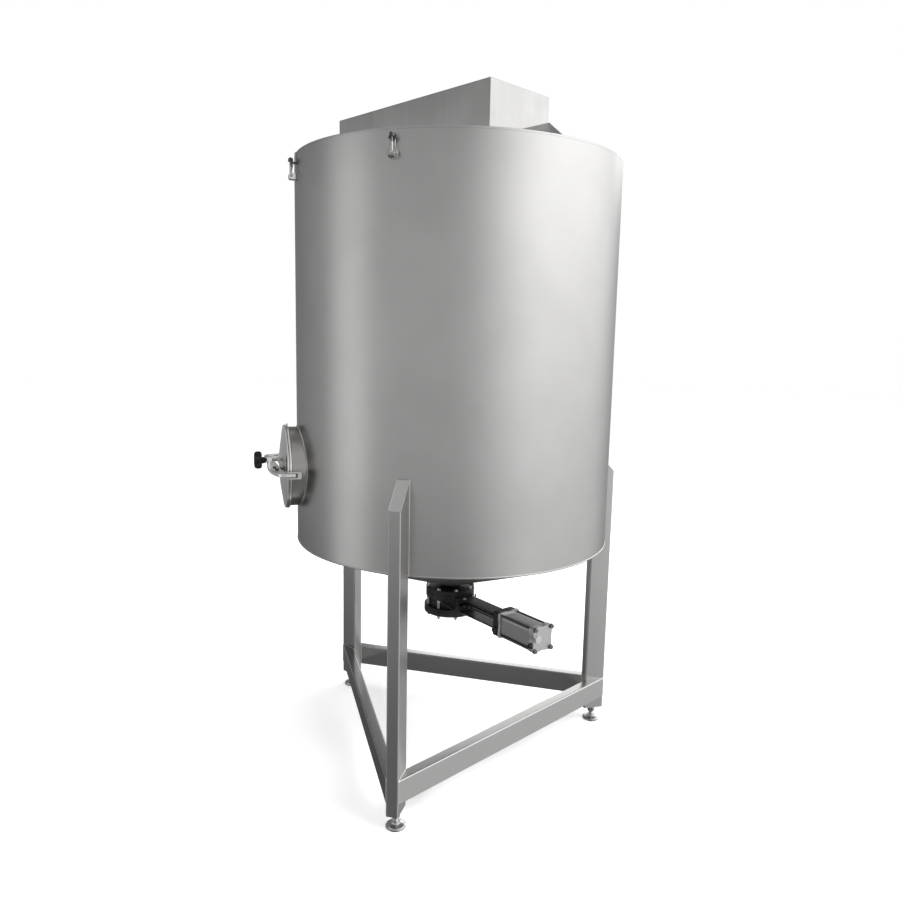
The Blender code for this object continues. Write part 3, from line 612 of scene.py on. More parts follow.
def shellWithHole():
    # a cylinder by azimuth and height; round the manway each point is mixed, in the plane of
    # sideways and height, from a circle out to the patch's square border
    low, high = localBox("tank_shell", azimuths["manway"])
    radius, steps = shellSizes["radius"], shellSizes["steps"]
    middleCells = int(round(math.asin(shellSizes["patchHalf"] / radius) / (2 * np.pi / steps)))
    turn = np.linspace(0, 2 * np.pi, steps, endpoint=False)
    patchLow, patchHigh = manwayHeight - shellSizes["patchHalf"], manwayHeight + shellSizes["patchHalf"]
    heights = np.concatenate([
        np.linspace(low[2], patchLow, 5)[:-1], np.linspace(patchLow, patchHigh, 25),
        np.linspace(patchHigh, high[2], 41)[1:]])
    grid = np.stack(np.broadcast_arrays(
        radius * np.cos(turn), radius * np.sin(turn), heights[:, None]), axis=-1)
    rows, around = grid.shape[:2]
    index = np.arange(rows * around).reshape(rows, around)
    quads = np.stack([index[:-1], np.roll(index[:-1], -1, axis=1),
                      np.roll(index[1:], -1, axis=1), index[1:]], axis=-1)
    cellMiddle = (np.arange(around) + 0.5 + around // 2) % around - around // 2
    inColumn = np.abs(cellMiddle) < middleCells
    inRow = (heights[:-1] > patchLow - 1e-6) & (heights[:-1] < patchHigh - 1e-6)
    wall = Shape(grid, quads[~(inRow[:, None] & inColumn[None])])
    columns = np.arange(-middleCells, middleCells + 1) * 2 * np.pi / steps
    sides = radius * np.sin(columns)
    levels = np.linspace(patchLow, patchHigh, 25) - manwayHeight
    border = np.concatenate([
        np.stack([sides[:-1], np.full(len(sides) - 1, levels[0])], axis=1),
        np.stack([np.full(24, sides[-1]), levels[:-1]], axis=1),
        np.stack([sides[:0:-1], np.full(len(sides) - 1, levels[-1])], axis=1),
        np.stack([np.full(24, sides[0]), levels[:0:-1]], axis=1)])
    rim = border / np.linalg.norm(border, axis=1, keepdims=True) * shellSizes["hole"]
    share = np.linspace(0, 1, shellSizes["rings"] + 1)[:, None, None]
    flat = rim[None] * (1 - share) + border[None] * share
    out = np.sqrt(radius ** 2 - flat[..., 0] ** 2)
    patch = np.stack([out, flat[..., 0], flat[..., 1] + manwayHeight], axis=-1)
    ringRows, ringAround = patch.shape[:2]
    ring = np.arange(ringRows * ringAround).reshape(ringRows, ringAround)
    ringQuads = np.stack([ring[:-1], ring[1:], np.roll(ring[1:], -1, axis=1),
                          np.roll(ring[:-1], -1, axis=1)], axis=-1)
    return joined([wall, Shape(patch, ringQuads)]).at(frameAt(azimuths["manway"]))


makePiece("shell_sheet", [shellWithHole()], "tank", finishes["satin"], ["tank_shell"],
          modifiers={"WELD": {"merge_threshold": shellSizes["merge"]},
                     "SOLIDIFY": {"thickness": shellSizes["wall"], "offset": -1.0}})

coneSizes = {"steps": 256, "top": 1.0047, "foot": 0.7565, "wall": 0.005, "neck": 0.0403,
             "inner": 0.690, "bend": 0.012, "seam": 0.6990, "seamHeight": 1.0045, "seamSteps": 360,
             "seamBead": 0.0028, "seamRipple": 0.008}
coneProfile = [(shellSizes["radius"], coneSizes["top"]),
               (shellSizes["radius"], coneSizes["top"] - coneSizes["wall"]),
               (coneSizes["neck"], coneSizes["foot"]),
               (coneSizes["neck"], coneSizes["foot"] + coneSizes["wall"]),
               (coneSizes["inner"], coneSizes["top"])]
cone = lathe(eased(coneProfile, [0.0, coneSizes["bend"], 0.0, 0.0, 0.0], 4), coneSizes["steps"])
makePiece("cone_sheet", [cone.at(frameAt(0))], "tank", finishes["satin"],
          ["bottom_cone"])

seamLine = np.column_stack([circle(coneSizes["seam"], coneSizes["seamSteps"]),
                            np.full(coneSizes["seamSteps"], coneSizes["seamHeight"])])
seamWeld = weld(seamLine, coneSizes["seamBead"], coneSizes["seamRipple"], loop=True, rows=3)
makePiece("seam_weld", [seamWeld.at(frameAt(0))], "tank", finishes["weld"], sharp=60)
print("tank body made")


# Covers, deck strip and drive hood

coverSizes = {"radius": 0.700, "halfStrip": 0.205, "seam": 0.001, "edge": 0.0018, "foot": 0.2}
deckLow, deckHigh = localBox("lid_deck", azimuths["hood"])
deckSide = math.degrees(math.asin(coverSizes["halfStrip"] / coverSizes["radius"]))
deckOutline = np.concatenate([arc(coverSizes["radius"], -deckSide, deckSide, 32),
                              arc(coverSizes["radius"], 180 - deckSide, 180 + deckSide, 32)])
makePiece("deck_strip", [slab(deckOutline, deckLow[2], deckHigh[2], coverSizes["edge"],
                              foot=coverSizes["foot"]).at(frameAt(azimuths["hood"]))],
          "tank", finishes["satin"], ["lid_deck"])
coverSide = math.degrees(math.asin((coverSizes["halfStrip"] + coverSizes["seam"]) / coverSizes["radius"]))
coverOutline = arc(coverSizes["radius"], coverSide, 180 - coverSide, 120)
for coverName, coverTurn in (("front", 0), ("back", 180)):
    coverShape = slab(coverOutline, deckLow[2], deckHigh[2], coverSizes["edge"], foot=coverSizes["foot"])
    makePiece(f"half_cover_{coverName}", [coverShape.at(frameAt(azimuths["hood"] + coverTurn))],
              "tank", finishes["satin"], [f"cover_{coverName}"])

hoodSizes = {"corner": 0.005, "topEdge": 0.005, "wall": 0.004, "steps": 4}


def hoodSheet():
    # an upright rounded rectangle whose rim turns over into a flat top, open below
    low, high = localBox("drive_hood", azimuths["hood"])
    half = (high - low) / 2
    outline = roundedBox(half[0], half[1], hoodSizes["corner"], hoodSizes["steps"])
    outline = outline + ((high + low) / 2)[:2]
    turn = np.linspace(0, np.pi / 2, hoodSizes["steps"] + 1)
    levels = [(0.0, low[2])] + [
        (hoodSizes["topEdge"] * (1 - math.cos(t)), high[2] - hoodSizes["topEdge"] * (1 - math.sin(t)))
        for t in turn]
    rings = np.stack([np.column_stack([inset(outline, i), np.full(len(outline), z)])
                      for i, z in levels])
    closed = loft(rings)
    return Shape(closed.points, closed.quads, [p for p in closed.polygons
                                              if closed.points[p][:, 2].mean() > low[2] + 0.01])


makePiece("hood_sheet", [hoodSheet().at(frameAt(azimuths["hood"]))], "tank", finishes["brushed"],
          ["drive_hood"],
          modifiers={"SOLIDIFY": {"thickness": hoodSizes["wall"], "offset": -1.0}})
print("covers and hood made")


# Legs, rails and feet

# the left leg takes the darker section steel, which is painted shade: it stands in the tank's shadow
legSizes = {"finishes": {"front": "legs", "right": "legs", "left": "paintedShadeSection"}, "corner": 0.006,
            "capEdge": 0.002, "outerTop": 1.272, "bead": 0.0024, "dressed": 0.0016, "ripple": 0.006}


def legShape(name):
    # a rounded rectangle carried up to a plane that slopes down and outward
    low, high = localBox(f"leg_{name}", legAzimuths[name])
    start, end = low[0], high[0]
    topInner, topOuter = high[2], legSizes["outerTop"]
    outline = roundedBox((end - start) / 2, (high[1] - low[1]) / 2, legSizes["corner"])
    outline = outline + ((start + end) / 2, 0)
    turn = np.linspace(0, np.pi / 2, 4)
    edge = legSizes["capEdge"]
    rings = []
    for t in turn:
        flat = inset(outline, edge * (1 - math.sin(t)))
        rings.append(np.column_stack([flat, np.full(len(flat), low[2] + edge * (1 - math.cos(t)))]))
    for t in turn[::-1]:
        flat = inset(outline, edge * (1 - math.sin(t)))
        slope = topInner - (topInner - topOuter) * (flat[:, 0] - start) / (end - start)
        rings.append(np.column_stack([flat, slope - edge * (1 - math.cos(t))]))
    return loft(rings), start, end, low, high


for legName in legAzimuths:
    legBody, legStart, legEnd, legLow, legHigh = legShape(legName)
    makePiece(f"leg_section_{legName}", [legBody.at(frameAt(legAzimuths[legName]))], "tank",
              finishes[legSizes["finishes"][legName]], [f"leg_{legName}"])
    beads, dressed = [], []
    for side in (legLow[1], legHigh[1]):
        inner = side * 0.965
        beads.append(weld([(legStart + 0.0008, side, 1.006), (legStart + 0.0008, side, legHigh[2])],
                          legSizes["bead"], legSizes["ripple"], up=(1, 0, 0)))
        dressed.append(weld([(legEnd - 0.002, inner, 1.2735), (legStart + 0.001, inner, legHigh[2] - 0.002)],
                            legSizes["dressed"], legSizes["ripple"], up=(0, 1, 0)))
    dressed.append(weld([(legStart + 0.001, legLow[1], legHigh[2] - 0.001),
                         (legStart + 0.001, legHigh[1], legHigh[2] - 0.001)],
                        legSizes["dressed"], legSizes["ripple"], up=(1, 0, 0)))
    makePiece(f"leg_welds_{legName}", [b.at(frameAt(legAzimuths[legName])) for b in beads], "tank",
              finishes["weld"], sharp=60)
    makePiece(f"leg_cap_welds_{legName}", [b.at(frameAt(legAzimuths[legName])) for b in dressed], "tank",
              finishes["legs"], sharp=60)

# the back and left rails take the darker section steel, which is painted shade for the shadow under the tank
railSizes = {"corner": 0.006, "bead": 0.0026, "sunk": 0.0018, "legHalf": 0.0253,
             "finishes": {"right": "legs", "back": "paintedShadeSection", "left": "paintedShadeSection"}}


def railEnd(outline, side):
    # each end lies in the leg's side face: y = (x sin 60 - half the leg's width) / cos 60
    mitre = (outline[:, 0] * math.sin(math.pi / 3) - railSizes["legHalf"]) / math.cos(math.pi / 3)
    return np.column_stack([outline[:, 0], side * mitre, outline[:, 1]])


for railName, railAzimuth in railAzimuths.items():
    railLow, railHigh = localBox(f"rail_{railName}", railAzimuth)
    railHalf, railMiddle = (railHigh - railLow) / 2, (railHigh + railLow) / 2
    railOutline = roundedBox(railHalf[0], railHalf[2], railSizes["corner"]) + railMiddle[[0, 2]]
    railBody = loft([railEnd(railOutline, side) for side in (-1, 1)])
    railBeads = [weld(railEnd(inset(railOutline, railSizes["sunk"]), side), railSizes["bead"],
                      up=(0.05, 1, 0.02), loop=True) for side in (-1, 1)]
    makePiece(f"rail_section_{railName}", [railBody.at(frameAt(railAzimuth))], "tank",
              finishes[railSizes["finishes"][railName]], [f"rail_{railName}"])
    makePiece(f"rail_welds_{railName}", placed(railBeads, frameAt(railAzimuth)), "tank",
              finishes["mirror"], sharp=60)

footSizes = {"stem": 0.0115, "nut": 0.018}
for footName, footAzimuth in legAzimuths.items():
    footLow, footHigh = localBox(f"foot_{footName}", footAzimuth)
    footMiddle = (footLow[0] + footHigh[0]) / 2
    pad = lathe(eased([(0.0001, 0.003), (0.036, 0.003), (0.036, 0.0), (0.039, 0.0), (0.040, 0.003),
                       (0.040, 0.0085), (0.034, 0.0125), (0.018, 0.017), (0.0165, 0.024),
                       (0.0001, 0.024)], 0.0016, 3, loop=False), 64, False)
    stem = thread(footSizes["stem"], 0.022, footHigh[2] - 0.002, 0.003, 0.10, 24)
    nut = hexagon(footSizes["nut"], footHigh[2] - 0.0142, footHigh[2])
    lockNut = hexagon(footSizes["nut"] * 0.98, footHigh[2] - 0.026, footHigh[2] - 0.0150)
    makePiece(f"levelling_foot_{footName}",
              placed([pad, stem, nut, lockNut], frameAt(footAzimuth) @ shift(footMiddle, 0, 0)),
              "tank", finishes["bolts"], [f"foot_{footName}"])
print("frame made")


# Manway: neck, dished door, clamp arm, hinge, catch and star knob

manwayFrame = frameAt(azimuths["manway"], manwayHeight)
neckSizes = {"outer": 0.170, "wall": 0.006, "ring": 0.179, "inner": 0.655, "face": 0.752, "depth": 0.012}
neckProfile = [
    (neckSizes["outer"] - neckSizes["wall"], neckSizes["inner"]),
    (neckSizes["outer"], neckSizes["inner"]),
    (neckSizes["outer"], neckSizes["face"] - neckSizes["depth"] - 0.0002),
    (neckSizes["outer"] - neckSizes["wall"], neckSizes["face"] - neckSizes["depth"] - 0.0002),
]
collarProfile = [
    (neckSizes["outer"] - neckSizes["wall"], neckSizes["face"] - neckSizes["depth"]),
    (neckSizes["ring"], neckSizes["face"] - neckSizes["depth"]),
    (neckSizes["ring"], neckSizes["face"]),
    (neckSizes["outer"] - neckSizes["wall"], neckSizes["face"]),
]
neck = lathe(eased(neckProfile, 0.001, 4), 128)
makePiece("manway_neck_sheet", [neck.at(manwayFrame @ alongOut)], "tank", finishes["neck"],
          ["manway_neck"])
collar = lathe(eased(collarProfile, [0.001, 0.0050, 0.0054, 0.001], 8), 128)
makePiece("manway_collar", [collar.at(manwayFrame @ alongOut)], "tank", finishes["mirror"])

neckTurn = np.radians(np.linspace(0, 360, 181)[:-1])
neckSide, neckUp = 0.1712 * np.cos(neckTurn), 0.1712 * np.sin(neckTurn)
neckLine = np.stack([np.sqrt(0.7008 ** 2 - neckSide ** 2), neckSide, neckUp], axis=1)
makePiece("neck_weld", [weld(neckLine, 0.0034, 0.007, up=(1, 0, 0), loop=True).at(manwayFrame)],
          "tank", finishes["weld"], sharp=60)

doorSizes = {"rim": 0.179, "split": 0.1650, "dish": 0.170, "crown": 0.020, "edge": 0.007,
             "sheet": 0.006, "back": 0.7523, "bead": 0.156, "beadWidth": 0.004, "beadRise": 0.0012}


def doorProfile():
    # the crown is a quarter sine of the radius; a shallow bead runs where dish and rim meet
    radius = np.linspace(0.0002, doorSizes["dish"], 30)
    rise = doorSizes["crown"] * np.sin(np.pi / 2 * (1 - radius / doorSizes["dish"]))
    front = doorSizes["back"] + doorSizes["edge"]
    offset = (radius - doorSizes["bead"]) / doorSizes["beadWidth"]
    bead = doorSizes["beadRise"] * np.exp(-offset ** 2)
    outside = np.stack([radius, front + rise + bead], axis=1)
    rim = eased([(0.1712, front), (doorSizes["rim"], front), (doorSizes["rim"], doorSizes["back"]),
                 (0.1640, doorSizes["back"])], 0.0032, 6, loop=False)
    inside = np.stack([radius[::-1][2:], front + rise[::-1][2:] - doorSizes["sheet"]], axis=1)
    return np.concatenate([outside, rim, inside])


coverShape = lathe(doorProfile(), 128, False).at(manwayFrame @ alongOut)
cover = makePiece("manway_cover", [coverShape], "manway_arm", finishes["polished"],
                  ["manway_door"])
# the faces of the turned rim are mirror bright: those whose middle is further out than the dish
cover.data.materials.append(finishes["mirror"])
coverLocal = np.array([face.center for face in cover.data.polygons]) @ manwayFrame[:3, :3]
coverLocal -= manwayFrame[:3, 3] @ manwayFrame[:3, :3]
isRim = np.hypot(coverLocal[:, 1], coverLocal[:, 2]) > doorSizes["split"]
cover.data.polygons.foreach_set("material_index", isRim.astype(np.int32))
gasket = lathe(eased([(0.1655, 0.7500), (0.1772, 0.7500), (0.1772, 0.7528), (0.1655, 0.7528)],
                     0.0008, 2), 96)
makePiece("manway_gasket", [gasket.at(manwayFrame @ alongOut)], "tank", finishes["rubber"])

armSizes = {"drop": 0.005, "halfHeight": 0.007, "bar": 0.012, "inner": 0.783, "innerSide": 0.180,
            "crown": 0.822, "shoulder": 0.770,
            "flat": 0.030, "side": 0.205, "tail": 0.730, "hingeOut": 0.757, "hingeSide": 0.212,
            "eye": 0.013, "pin": 0.006, "boss": 0.015, "knobRise": 0.028}


def armBend(side, reach):
    # a quarter of an ellipse from the foot to the flat front
    turn = np.linspace(0, np.pi / 2, 20)[:-1]
    out = armSizes["shoulder"] + (armSizes["crown"] - armSizes["shoulder"]) * np.sin(turn)
    across = armSizes["flat"] + (reach - armSizes["flat"]) * np.cos(turn)
    return np.stack([out, side * across, np.full(len(turn), -armSizes["drop"])], axis=1)


armLevel = -armSizes["drop"]
armPath = np.concatenate([
    [(armSizes["hingeOut"], -armSizes["hingeSide"], armLevel)], armBend(-1, armSizes["hingeSide"]),
    [(armSizes["crown"], -armSizes["flat"], armLevel), (armSizes["crown"], armSizes["flat"], armLevel)],
    armBend(1, armSizes["side"])[::-1], [(armSizes["tail"], armSizes["side"], armLevel)]])


def crescent():
    # the path moved half a bar's width to either side; its inner line is straight in the middle
    spine = resampled(armPath, 0.006)[0][:, :2]
    run = np.gradient(spine, axis=0)
    run /= np.linalg.norm(run, axis=1, keepdims=True)
    normal = np.stack([run[:, 1], -run[:, 0]], axis=1) * armSizes["bar"] / 2
    outer, inner = spine + normal, spine - normal
    side = np.abs(inner[:, 1])
    inner = inner[(side > armSizes["innerSide"]) | (side < armSizes["flat"])]
    middle = np.abs(inner[:, 1]) < armSizes["innerSide"]
    inner[middle, 0] = armSizes["inner"]
    return counterClockwise(np.concatenate([outer, inner[::-1]]))


armBar = slab(crescent(), armLevel - armSizes["halfHeight"], armLevel + armSizes["halfHeight"], 0.0014)
eye = lathe(eased([(armSizes["pin"] + 0.001, armLevel - armSizes["halfHeight"]),
                   (armSizes["eye"], armLevel - armSizes["halfHeight"]),
                   (armSizes["eye"], armLevel + armSizes["halfHeight"]),
                   (armSizes["pin"] + 0.001, armLevel + armSizes["halfHeight"])], 0.001, 3), 48)
boss = lathe(eased([(0.007, 0.810), (armSizes["boss"], 0.810), (armSizes["boss"], 0.832), (0.007, 0.832)],
                   0.002, 3), 48)
web = slab(roundedBox(0.0148, 0.022, 0.004), armSizes["crown"] - 0.006, armSizes["crown"] + 0.006, 0.0015)
makePiece("swing_arm", [armBar.at(manwayFrame),
                        eye.at(manwayFrame @ shift(armSizes["hingeOut"], -armSizes["hingeSide"], 0)),
                        boss.at(manwayFrame @ shift(0, 0, armSizes["knobRise"]) @ alongOut),
                        web.at(manwayFrame @ shift(0, 0, 0.006) @ alongOut)],
          "manway_arm", finishes["mirror"], ["clamp_arm"])


def lugShapes(side, tip, out):
    # two cheek plates beside the ring, drawn in out and sideways, with a web between them
    seat, reach, room = 0.1797, tip + armSizes["eye"], 0.191
    cheek = [(0.705, side * 0.1685), (0.705, side * reach), (out, side * reach),
             (out, side * (room + 0.004)), (0.741, side * room), (0.7395, side * seat),
             (0.7385, side * 0.1685)]
    outline = counterClockwise(eased(cheek, [0.001, 0.006, 0.011, 0.004, 0.003, 0.001, 0.001], 4))
    webLow, webHigh = sorted((side * 0.168, side * (reach - 0.003)))
    wide = (webHigh - webLow) / 2
    between = slab(roundedBox(0.0085, wide, 0.002) + (0.7135, (webLow + webHigh) / 2), -0.0142, 0.0042, 0.0)
    return [slab(outline, -0.020, -0.014, 0.0012), slab(outline, 0.004, 0.010, 0.0012), between]


hingePin = [rod(armSizes["pin"], -0.026, 0.016), lathe(eased([(0.0002, 0.010), (0.0095, 0.010),
            (0.0095, 0.0135), (0.006, 0.0158), (0.0002, 0.0160)], 0.0012, 3, False), 32, False),
            lathe(eased([(0.0002, -0.026), (0.0085, -0.026), (0.0085, -0.0202), (0.0002, -0.0202)],
                        0.001, 3, False), 32, False)]
makePiece("door_hinge", placed(lugShapes(-1, armSizes["hingeSide"], 0.770), manwayFrame)
          + placed(hingePin, manwayFrame @ shift(armSizes["hingeOut"], -armSizes["hingeSide"], 0)),
          "tank", finishes["polished"], ["manway_hinge"])
makePiece("door_catch", placed(lugShapes(1, armSizes["side"], 0.765), manwayFrame), "tank",
          finishes["polished"], ["manway_catch"])

knobSizes = {"radius": 0.039, "lobes": 5, "lobeDepth": 0.17, "face": 0.884, "thick": 0.032, "hub": 0.014}


def knobHead():
    # the radius swings with the cosine of five times the turn; a superellipse rounds it in depth
    turn = np.linspace(0, 2 * np.pi, 140, endpoint=False)
    swing = np.cos(knobSizes["lobes"] * (turn - np.pi / 2))
    star = knobSizes["radius"] * (1 - knobSizes["lobeDepth"] * (1 - swing))
    depth = np.sin(np.linspace(-np.pi / 2, np.pi / 2, 25))
    half = knobSizes["thick"] / 2
    swell = (1 - np.abs(depth) ** 2.6) ** (1 / 2.6)
    share = np.clip(0.62 + 0.38 * swell, 0, 1)
    share[[0, -1]] = 0.60
    rows = np.concatenate([[0.25], share, [0.42, 0.38, 0.05]])
    level = np.concatenate([[-half * 0.98], half * depth, [half * 0.99, half * 0.88, half * 0.88]])
    wide = star[None] * rows[:, None]
    wide[-3:] = rows[-3:, None] * knobSizes["radius"]
    wide[0] = rows[0] * knobSizes["radius"]
    z = np.broadcast_to(level[:, None], wide.shape) + knobSizes["face"] - half
    return loft(np.stack([wide * np.cos(turn), wide * np.sin(turn), z], axis=-1))


knobFrame = manwayFrame @ shift(0, 0, armSizes["knobRise"]) @ alongOut
hub = lathe(eased([(0.0002, 0.834), (0.011, 0.834), (knobSizes["hub"], 0.846), (knobSizes["hub"], 0.860),
                   (0.0002, 0.860)], 0.003, 3, False), 48, False)
makePiece("star_grip", [knobHead().at(knobFrame), hub.at(knobFrame)], "knob", finishes["plastic"],
          ["star_knob"], sharp=50)
screw = thread(0.006, 0.783, 0.846, 0.0018, 0.14, 18)
tip = lathe(eased([(0.0002, 0.7795), (0.0056, 0.7795), (0.0056, 0.7840), (0.0002, 0.7840)], 0.001, 3, False),
            24, False)
armBolts = placed(screwHead(0.0075, 0.004), *(manwayFrame @ shift(out, side, armLevel + 0.007)
                                              for out, side in ((0.803, 0.045), (0.797, 0.095))))
makePiece("knob_spindle", [screw.at(knobFrame), tip.at(knobFrame)], "knob", finishes["polished"],
          sharp=60)
makePiece("arm_bolts", armBolts, "manway_arm", finishes["darkSteel"], sharp=40)
handleLine = eased([(0.776, -0.058, 0.030), (0.830, -0.058, 0.027), (0.830, -0.128, 0.027),
                    (0.766, -0.128, 0.030)], 0.016, 6, False)
handleFeet = [rod(0.0105, seat - 0.002, seat + 0.005, 0.001).at(alongOut @ shift(side, 0.030, 0))
              for side, seat in ((-0.058, 0.7755), (-0.128, 0.7660))]
makePiece("cover_handle", placed([sweep(resampled(handleLine, 0.003)[0], circle(0.0065, 20), up=(0, 0.2, 1))]
                                 + handleFeet, manwayFrame),
          "manway_arm", finishes["mirror"], sharp=40)
tabs = [slab(roundedBox(0.011, 0.008, 0.003) + (0, place), 0.742, 0.748, 0.001) for place in (0.176, -0.176)]
makePiece("ring_tabs", placed(tabs, manwayFrame @ alongOut), "tank", finishes["polished"])
print("manway made")


# Cover latches

latchSizes = {"face": 0.7003, "pivot": 0.7203, "height": 2.536, "pin": 0.0035, "gap": 0.010, "ear": 0.014,
              "forkTop": 2.592, "coverTop": 2.6303, "stem": 0.005, "nut": 0.0108}


def latchBracket():
    # ear outlines are drawn in height and out, and the back plate joins them
    low, high, face = latchSizes["height"] - 0.014, latchSizes["height"] + 0.012, latchSizes["face"]
    tipOut = latchSizes["pivot"] + 0.009
    ear = eased([(low, face), (high, face), (high, tipOut), (low, tipOut)], [0.001, 0.001, 0.010, 0.010], 5)
    ear = counterClockwise(ear)
    ears = [slab(ear, -latchSizes["ear"], -latchSizes["gap"], 0.0008).at(alongSide),
            slab(ear, latchSizes["gap"], latchSizes["ear"], 0.0008).at(alongSide)]
    plate = slab(roundedBox(0.0141, 0.013, 0.0015) + (0, (low + high) / 2), face, face + 0.004, 0.0006)
    pinPlace = shift(latchSizes["pivot"], 0, latchSizes["height"]) @ alongSide
    pin = [rod(latchSizes["pin"], -0.0172, 0.0172).at(pinPlace)]
    heads = [lathe(eased([(0.0002, s * 0.0141), (0.0056, s * 0.0141), (0.0056, s * 0.0166),
                          (0.0002, s * 0.0175)], 0.0008, 3, False), 24, False).at(pinPlace)
             for s in (-1, 1)]
    return ears + [plate.at(alongOut)] + pin + heads


def latchBolt():
    # eye, stem, thread, washer and nut of the swing bolt
    pivot = shift(latchSizes["pivot"], 0, latchSizes["height"])
    top = latchSizes["forkTop"] - latchSizes["height"] + 0.0006
    ring = lathe(eased([(0.0045, -0.009), (0.009, -0.009), (0.009, 0.009), (0.0045, 0.009)], 0.0012, 3), 32)
    stem = rod(latchSizes["stem"], 0.0075, top - 0.018, 0.0005, 24)
    threaded = thread(latchSizes["stem"], top - 0.019, top + 0.017, 0.0015, 0.12, 16)
    nut = [washer(0.005, 0.0109, top, top + 0.0016), hexagon(latchSizes["nut"], top + 0.0016, top + 0.0130)]
    return [ring.at(pivot @ alongSide)] + placed([stem, threaded], pivot), placed(nut, pivot)


def latchFork():
    # a strap up the shell's side, a slotted plate that stands out from it, and two wires
    face, side = latchSizes["face"], 0.013
    under = latchSizes["forkTop"] - 0.006
    strap = slab(roundedBox(side, (latchSizes["coverTop"] - under) / 2, 0.002)
                 + (0, (latchSizes["coverTop"] + under) / 2), face, face + 0.003, 0.0006)
    out = latchSizes["pivot"] + 0.003
    slot = arc(0.0065, 270, 90, 8, (latchSizes["pivot"], 0))
    prongs = np.concatenate([[(out, -side), (out, -0.0065)], slot, [(out, 0.0065), (out, side),
                             (face + 0.001, side), (face + 0.001, -side)]])
    prongs = counterClockwise(prongs)
    braces = []
    for brace in (-1, 1):
        line = [(0.7215, brace * 0.0195, 2.533), (0.7205, brace * 0.0195, 2.540),
                (0.7165, brace * 0.0098, 2.562), (0.7110, brace * 0.0095, under + 0.001)]
        braces.append(sweep(resampled(eased(line, 0.004, 4, False), 0.002)[0], circle(0.0021, 12),
                            up=(1, 0.2, 0)))
    return [strap.at(alongOut)], [slab(prongs, under, latchSizes["forkTop"], 0.0005, 2)], braces


for latchNumber, latchAzimuth in latchAzimuths.items():
    latchPlace = frameAt(latchAzimuth)
    makePiece(f"latch_ears_{latchNumber}", placed(latchBracket(), latchPlace), "tank",
              finishes["polished"], [f"latch_bracket_{latchNumber}"])
    bolt, boltNut = latchBolt()
    makePiece(f"swing_bolt_{latchNumber}", placed(bolt, latchPlace), f"latch_{latchNumber}",
              finishes["polished"], [f"latch_bolt_{latchNumber}"])
    makePiece(f"swing_nut_{latchNumber}", placed(boltNut, latchPlace), f"latch_{latchNumber}",
              finishes["darkSteel"], sharp=40)
    strap, prongs, wires = latchFork()
    makePiece(f"cover_strap_{latchNumber}", placed(strap, latchPlace), "tank", finishes["satin"],
              [f"latch_fork_{latchNumber}"])
    makePiece(f"cover_fork_{latchNumber}", placed(prongs, latchPlace), "tank", finishes["darkSteel"])
    makePiece(f"latch_wires_{latchNumber}", placed(wires, latchPlace), "tank", finishes["polished"],
              sharp=60)
print("latches made")


# Knife gate valve

valveFrame = frameAt(azimuths["valve"])
gateFrame = frameAt(azimuths["valve"], gateHeight)
valveSizes = {"flange": 0.1125, "bore": 0.034, "pipe": 0.040, "body": 0.097, "foot": 0.120,
              "chest": 0.050, "chestEnd": 0.121, "boltCircle": 0.1025, "bolts": 8,
              "boltCorner": 0.0095, "boltHead": 0.0075}
flange, bore, pipe = (valveSizes[key] for key in ("flange", "bore", "pipe"))
bodyRadius, footRadius, chest, chestEnd = (
    valveSizes[key] for key in ("body", "foot", "chest", "chestEnd"))

flangeProfile = eased([(bore, 0.776), (pipe, 0.776), (pipe, 0.752), (flange, 0.752), (flange, 0.730),
                       (bore, 0.730)], [0.001, 0.001, 0.006, 0.002, 0.002, 0.001], 4)
makePiece("top_flange", [lathe(flangeProfile, 96).at(valveFrame)], "tank", finishes["enamel"],
          ["outlet_flange"])

slotTop, slotLow = gateHeight + 0.006, gateHeight - 0.006
upperProfile = eased([(bore, 0.7297), (flange, 0.7297), (flange, 0.703), (bodyRadius, 0.703),
                      (bodyRadius, slotTop), (bore, slotTop)],
                     [0.001, 0.002, 0.003, 0.004, 0.0, 0.0], 4)
lowerProfile = eased([(bore, slotLow), (bodyRadius, slotLow), (bodyRadius, 0.665),
                      (footRadius, 0.665), (footRadius, 0.6533), (bore, 0.6533)],
                     [0.0, 0.0, 0.004, 0.003, 0.002, 0.001], 4)


def slotLayer():
    # the body's outer arc and the slot's inner one, joined at the chest's open end
    reach = math.degrees(math.asin(chest / bodyRadius))
    outer = arc(bodyRadius, reach, 360 - reach, 72)
    inner = arc(pipe, 270, 90, 36)
    outline = np.concatenate([[(chestEnd, pipe), (chestEnd, chest)], outer,
                              [(chestEnd, -chest), (chestEnd, -pipe)], inner])
    return slab(counterClockwise(outline), slotLow, slotTop)


def chestBlock(low, high):
    outline = eased([(chest, -chest), (chestEnd, -chest), (chestEnd, chest), (chest, chest)],
                    [0.001, 0.005, 0.005, 0.001], 4)
    return slab(outline, low, high)


lowerFlange = lathe(eased([(bore, 0.653), (footRadius, 0.653), (footRadius, 0.631), (bore, 0.631)],
                          [0.001, 0.002, 0.0025, 0.001], 4), 96)
makePiece("gate_body", placed([lathe(upperProfile, 96), lathe(lowerProfile, 96), slotLayer(),
                               chestBlock(slotTop, 0.725), chestBlock(0.655, slotLow)], valveFrame),
          "tank", finishes["enamel"], ["valve_body"])
makePiece("foot_flange", [lowerFlange.at(valveFrame)], "tank", finishes["enamel"],
          ["lower_flange"])
ribs = []
for ribSide in (-1, 1):
    line = [(0.070, ribSide * 0.099, 0.704), (0.108, ribSide * 0.0525, 0.661),
            (0.119, ribSide * 0.0510, 0.699)]
    ribs.append(sweep(resampled(eased(line, 0.010, 5, False), 0.003)[0], circle(0.0036, 12),
                      up=(1, 0.3, 0)))
makePiece("body_ribs", placed(ribs, valveFrame), "tank", finishes["enamel"])

